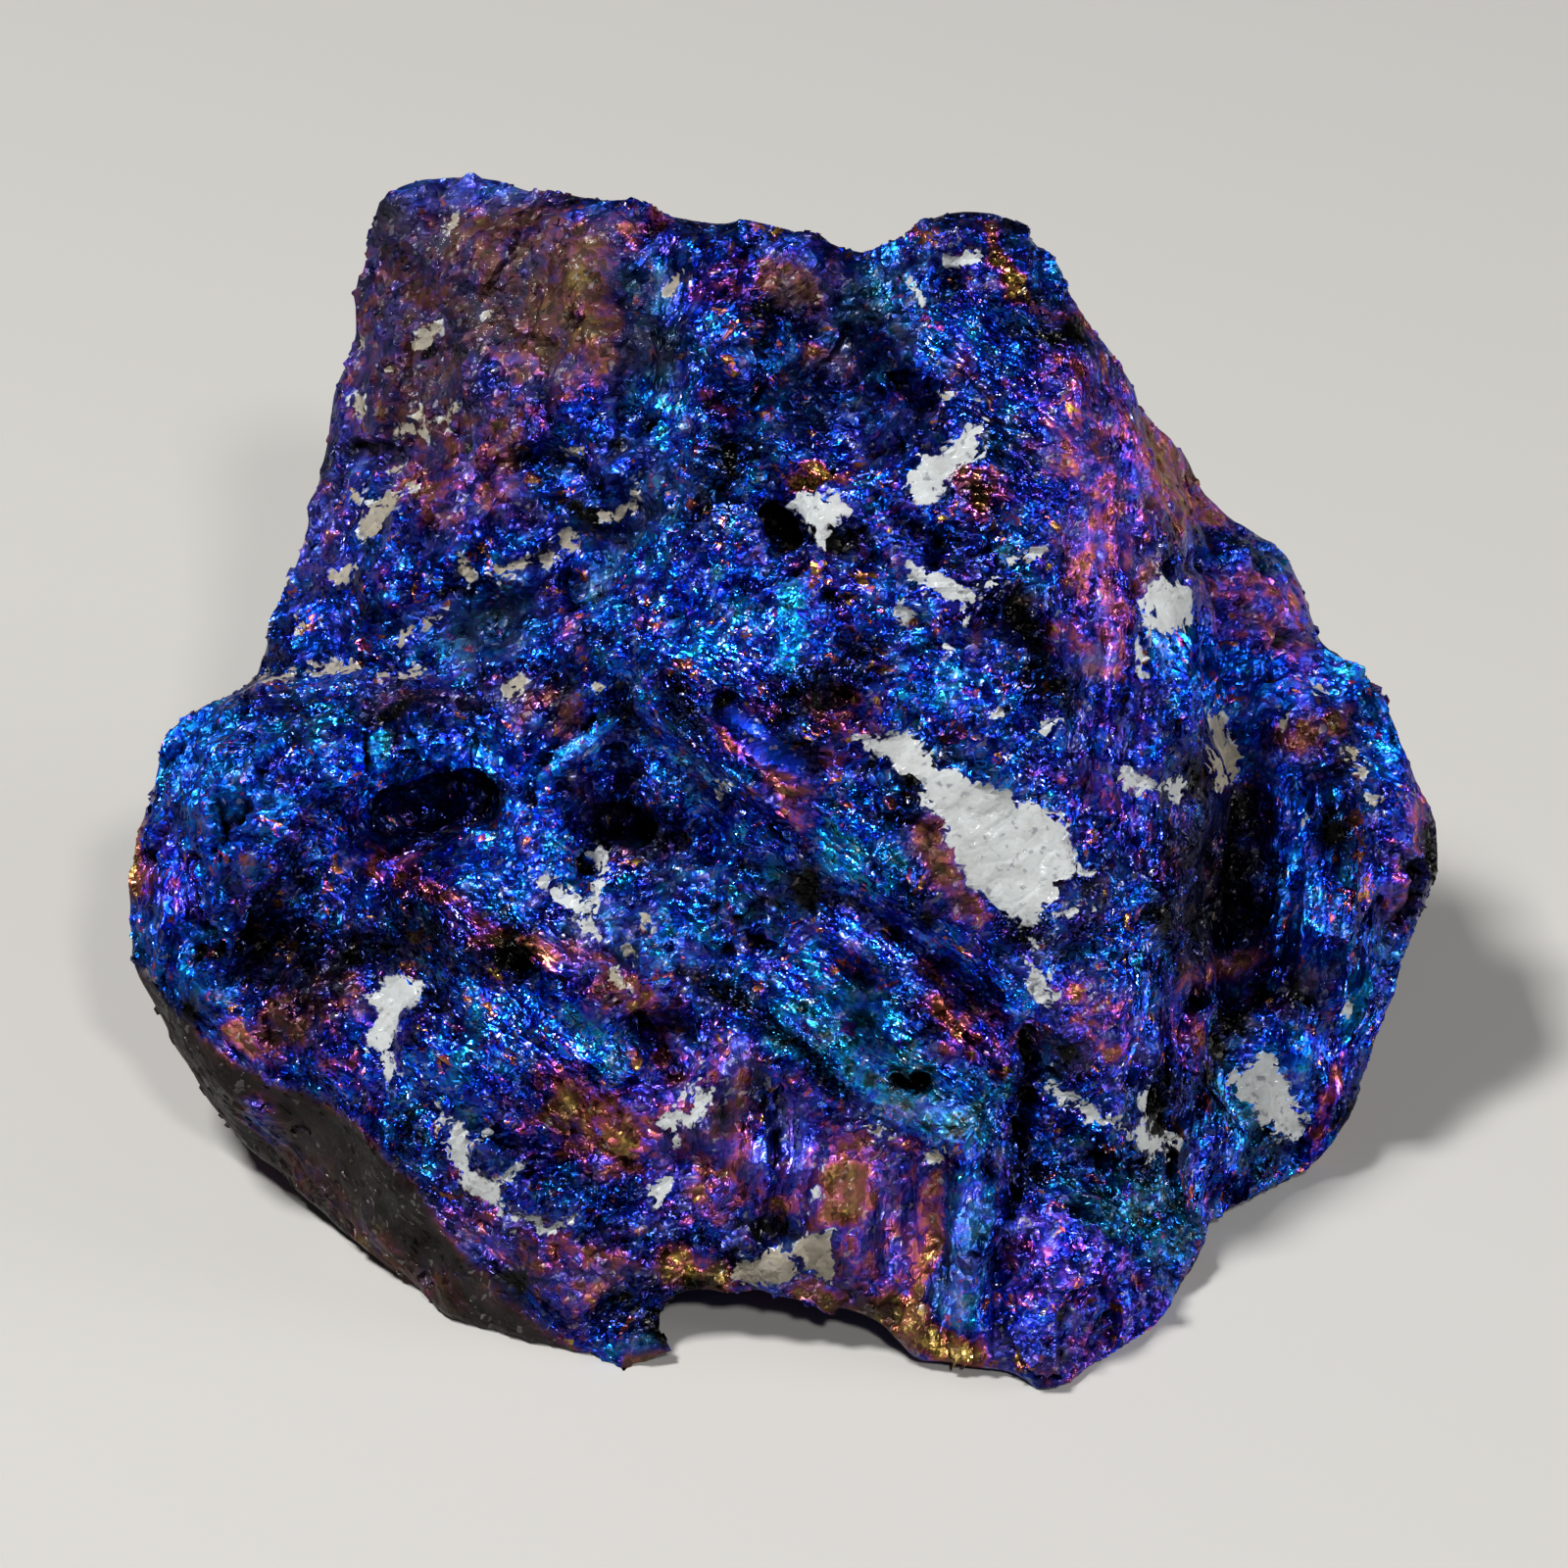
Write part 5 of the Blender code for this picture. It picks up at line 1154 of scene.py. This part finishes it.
chance = {}
for shift, (name, (least, most)) in enumerate(CHANCES.items(), start=1):
    seed = add(scatter, MATH, (given["Seed"], float(shift)), operation="ADD")
    chance[name] = add(
        scatter, "FunctionNodeRandomValue", {"Seed": seed, 2: least, 3: most}, data_type="FLOAT"
    )
RECALL = "GeometryNodeInputNamedAttribute"
where = add(scatter, RECALL, (given["Where"],), data_type="FLOAT")
drawn_here = add(scatter, RECALL, ("drawn",), data_type="FLOAT")
fibre_here = add(scatter, RECALL, ("fibre",), data_type="FLOAT_VECTOR")
square = add(scatter, MATH, (given["Spacing"], given["Spacing"]), operation="MULTIPLY")
thrown = add(scatter, MATH, (PACKING, square), operation="DIVIDE")
spread = add(scatter, "GeometryNodeDistributePointsOnFaces", {
    "Mesh": given["Geometry"], "Distance Min": given["Spacing"], "Density Max": thrown,
    "Density Factor": where, "Seed": given["Seed"],
}, distribute_method="POISSON")
toned = add(scatter, "GeometryNodeStoreNamedAttribute", {
    "Geometry": spread, "Name": "grain_tone", "Value": chance["tone"],
}, data_type="FLOAT", domain="POINT")
print("the points are laid by", len(scatter.nodes), "nodes")

# %% Three chips
chips = add(scatter, "GeometryNodeJoinGeometry")
for sides, top in CHIPS:
    cone = add(scatter, "GeometryNodeMeshCone", {
        "Vertices": sides, "Radius Top": top, "Radius Bottom": 1.0, "Depth": 2.0,
    }, fill_type="NGON")
    jog = add(scatter, "FunctionNodeRandomValue", {
        0: (-JOG, -JOG, -JOG), 1: (JOG, JOG, JOG), "Seed": sides,
    }, data_type="FLOAT_VECTOR")
    shift = add(scatter, VECTORS, ((0.0, 0.0, -1.0), jog), operation="ADD")
    moved = add(scatter, "GeometryNodeSetPosition", {"Geometry": cone, "Offset": shift})
    shard = add(scatter, "GeometryNodeGeometryToInstance", (moved,))
    scatter.links.new(shard.outputs[0], chips.inputs[0])
print(len(CHIPS), "chips to pick from")

# %% [markdown]
# ## How a grain stands
#
# A grain stands on the skin and turns its length along the fibres, the more strictly the longer they draw it.
# Then it tilts at random. Drawn out means longer and thinner by the same factor, so it covers as much skin.

# %% Turning, stretching and laying the grains
stand = add(scatter, "FunctionNodeAlignRotationToVector", {"Vector": spread.outputs["Normal"]}, axis="Z")
along = add(scatter, "FunctionNodeAlignRotationToVector", {
    "Rotation": stand, "Vector": fibre_here,
}, axis="X", pivot_axis="Z")
strict = add(scatter, MATH, (drawn_here, drawn_here), operation="MULTIPLY")
freedom = add(scatter, MATH, (TURN_OF_A_GRAIN, strict), operation="DIVIDE")
spin = add(scatter, MATH, (chance["spin"], freedom), operation="MULTIPLY")
lean = add(scatter, MATH, (chance["lean"], given["Tilt"]), operation="MULTIPLY")
roll = add(scatter, MATH, (chance["roll"], given["Tilt"]), operation="MULTIPLY")
roll = add(scatter, MATH, (roll, drawn_here), operation="DIVIDE")
tilt = add(scatter, "ShaderNodeCombineXYZ", (lean, roll, spin))
turn = add(scatter, "FunctionNodeEulerToRotation", (tilt,))
final = add(scatter, "FunctionNodeRotateRotation", (along, turn), rotation_space="LOCAL")

size = add(scatter, MATH, (given["Size"], chance["size"]), operation="MULTIPLY")
drawn_root = add(scatter, MATH, (drawn_here,), operation="SQRT")
grain_length = add(scatter, MATH, (size, drawn_root), operation="MULTIPLY")
grain_width = add(scatter, MATH, (size, drawn_root), operation="DIVIDE")
grain_height = add(scatter, MATH, (given["Height"], chance["height"]), operation="MULTIPLY")
scale = add(scatter, "ShaderNodeCombineXYZ", (grain_length, grain_width, grain_height))
which = add(scatter, "FunctionNodeRandomValue", {4: 0, 5: len(CHIPS) - 1, "Seed": 7}, data_type="INT")
strewn = add(scatter, "GeometryNodeInstanceOnPoints", {
    "Points": toned, "Instance": chips, "Pick Instance": True, "Instance Index": which,
    "Rotation": final, "Scale": scale,
})
real = add(scatter, "GeometryNodeRealizeInstances", (strewn,))
dressed = add(scatter, "GeometryNodeSetMaterial", {"Geometry": real, "Material": given["Finish"]})
add(scatter, "NodeGroupOutput", (dressed,))
print("the whole group has", len(scatter.nodes), "nodes")


# %% Three coats of grains
def grains(name, **settings):
    """Scatters grains over the body and gives them as one plain mesh."""
    grower = bpy.data.objects.new(name, body.data.copy())
    bpy.context.scene.collection.objects.link(grower)
    step = grower.modifiers.new("grains", "NODES")
    step.node_group = scatter
    settings["Finish"] = ore
    for item in scatter.interface.items_tree:
        if item.in_out == "INPUT" and item.name in settings:
            step[item.identifier] = settings[item.name]
    bpy.context.view_layer.update()
    made = bpy.data.meshes.new_from_object(grower.evaluated_get(bpy.context.evaluated_depsgraph_get()))
    bpy.data.objects.remove(grower)
    piece = bpy.data.objects.new(name, made)
    bpy.context.scene.collection.objects.link(piece)
    put(made, kept_in(places(made)))
    made.shade_flat()
    triangles = sum(len(face.vertices) - 2 for face in made.polygons)
    print(name, "has", triangles, "triangles")
    return piece


coats = [
    grains("fine_grains_of_the_face", Spacing=0.42 * MM, Size=0.24 * MM, Height=0.07 * MM, Tilt=0.4,
           Where="face_grainy", Seed=3),
    grains("fine_grains_of_the_back", Spacing=0.5 * MM, Size=0.28 * MM, Height=0.08 * MM, Tilt=0.4,
           Where="back_grainy", Seed=11),
    grains("coarse_crystals", Spacing=1.1 * MM, Size=0.42 * MM, Height=0.13 * MM, Tilt=0.4,
           Where="grainy", Seed=23),
]

# %% [markdown]
# ## The stage
#
# A pale floor, a soft box high on the left where the lamp of a display case would be, a weaker one near the
# eye, a wide one on the right for the side away from the lamp, and a faint even light. Metal shows what it
# mirrors, so the size of the soft box sets how broad the glints are.

# %% Floor, lights and camera
def lamp(name, place, size, power, target=SIGHT):
    """Adds a square soft light that shines at a target; places are in millimetres."""
    light = bpy.data.lights.new(name, "AREA")
    light.size = size * MM
    light.energy = power
    made = bpy.data.objects.new(name, light)
    made.location = Vector(place) * MM
    made.rotation_euler = (Vector(target) - Vector(place)).to_track_quat("-Z", "Y").to_euler()
    bpy.context.scene.collection.objects.link(made)


def from_face(right, up, out):
    """Gives a place in millimetres by steps from the middle of the show face."""
    return SIGHT + right * across + up * upward + out * outward


lamp("soft_box", from_face(*LAMP_FROM_FACE), size=100.0, power=5.1)
lamp("front_light", from_face(right=90.0, up=120.0, out=520.0), size=50.0, power=1.5)
lamp("right_fill", from_face(right=420.0, up=60.0, out=120.0), size=200.0, power=1.2)

FLOOR_REACH = 2.0  # metres
FLOOR_DROP = 0.00002  # keeps the floor just off the base
floor_mesh = bpy.data.meshes.new("floor")
floor_mesh.from_pydata(
    [(sx * FLOOR_REACH, sy * FLOOR_REACH, -FLOOR_DROP) for sx, sy in ((-1, -1), (1, -1), (1, 1), (-1, 1))],
    [], [(0, 1, 2, 3)],
)
floor = bpy.data.objects.new("floor", floor_mesh)
bpy.context.scene.collection.objects.link(floor)
paper = bpy.data.materials.new("pale_card")
paper.use_nodes = True
paper_shader = paper.node_tree.nodes["Principled BSDF"]
paper_shader.inputs["Base Color"].default_value = colour("#A09E9A")
paper_shader.inputs["Roughness"].default_value = 0.8
floor_mesh.materials.append(paper)

world = bpy.data.worlds.new("studio")
world.use_nodes = True
background = world.node_tree.nodes["Background"]
background.inputs["Color"].default_value = colour("#C8CCD4")
background.inputs["Strength"].default_value = 0.08
bpy.context.scene.world = world

camera_data = bpy.data.cameras.new("camera")
camera_data.sensor_width = 36.0
camera_data.lens = 200.0
camera_data.clip_start = 0.01
camera = bpy.data.objects.new("camera", camera_data)
camera.location = Vector(from_face(0.0, 0.0, EYE_DISTANCE)) * MM
camera.rotation_euler = (math.radians(90.0) - FACE_ELEVATION, 0.0, 0.0)
bpy.context.scene.collection.objects.link(camera)
bpy.context.scene.camera = camera
bpy.context.scene.view_settings.view_transform = "Standard"
print("the camera is at", [round(step, 3) for step in camera.location], "metres")

# %% [markdown]
# ## Handing over
#
# The body and its coats of grains stand for the plain solid and move with it.

# %% Riding on the frame
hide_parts("peacock_ore")
for piece in [body] + coats:
    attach(piece, "root")
print(1 + len(coats), "pieces ride on the root")
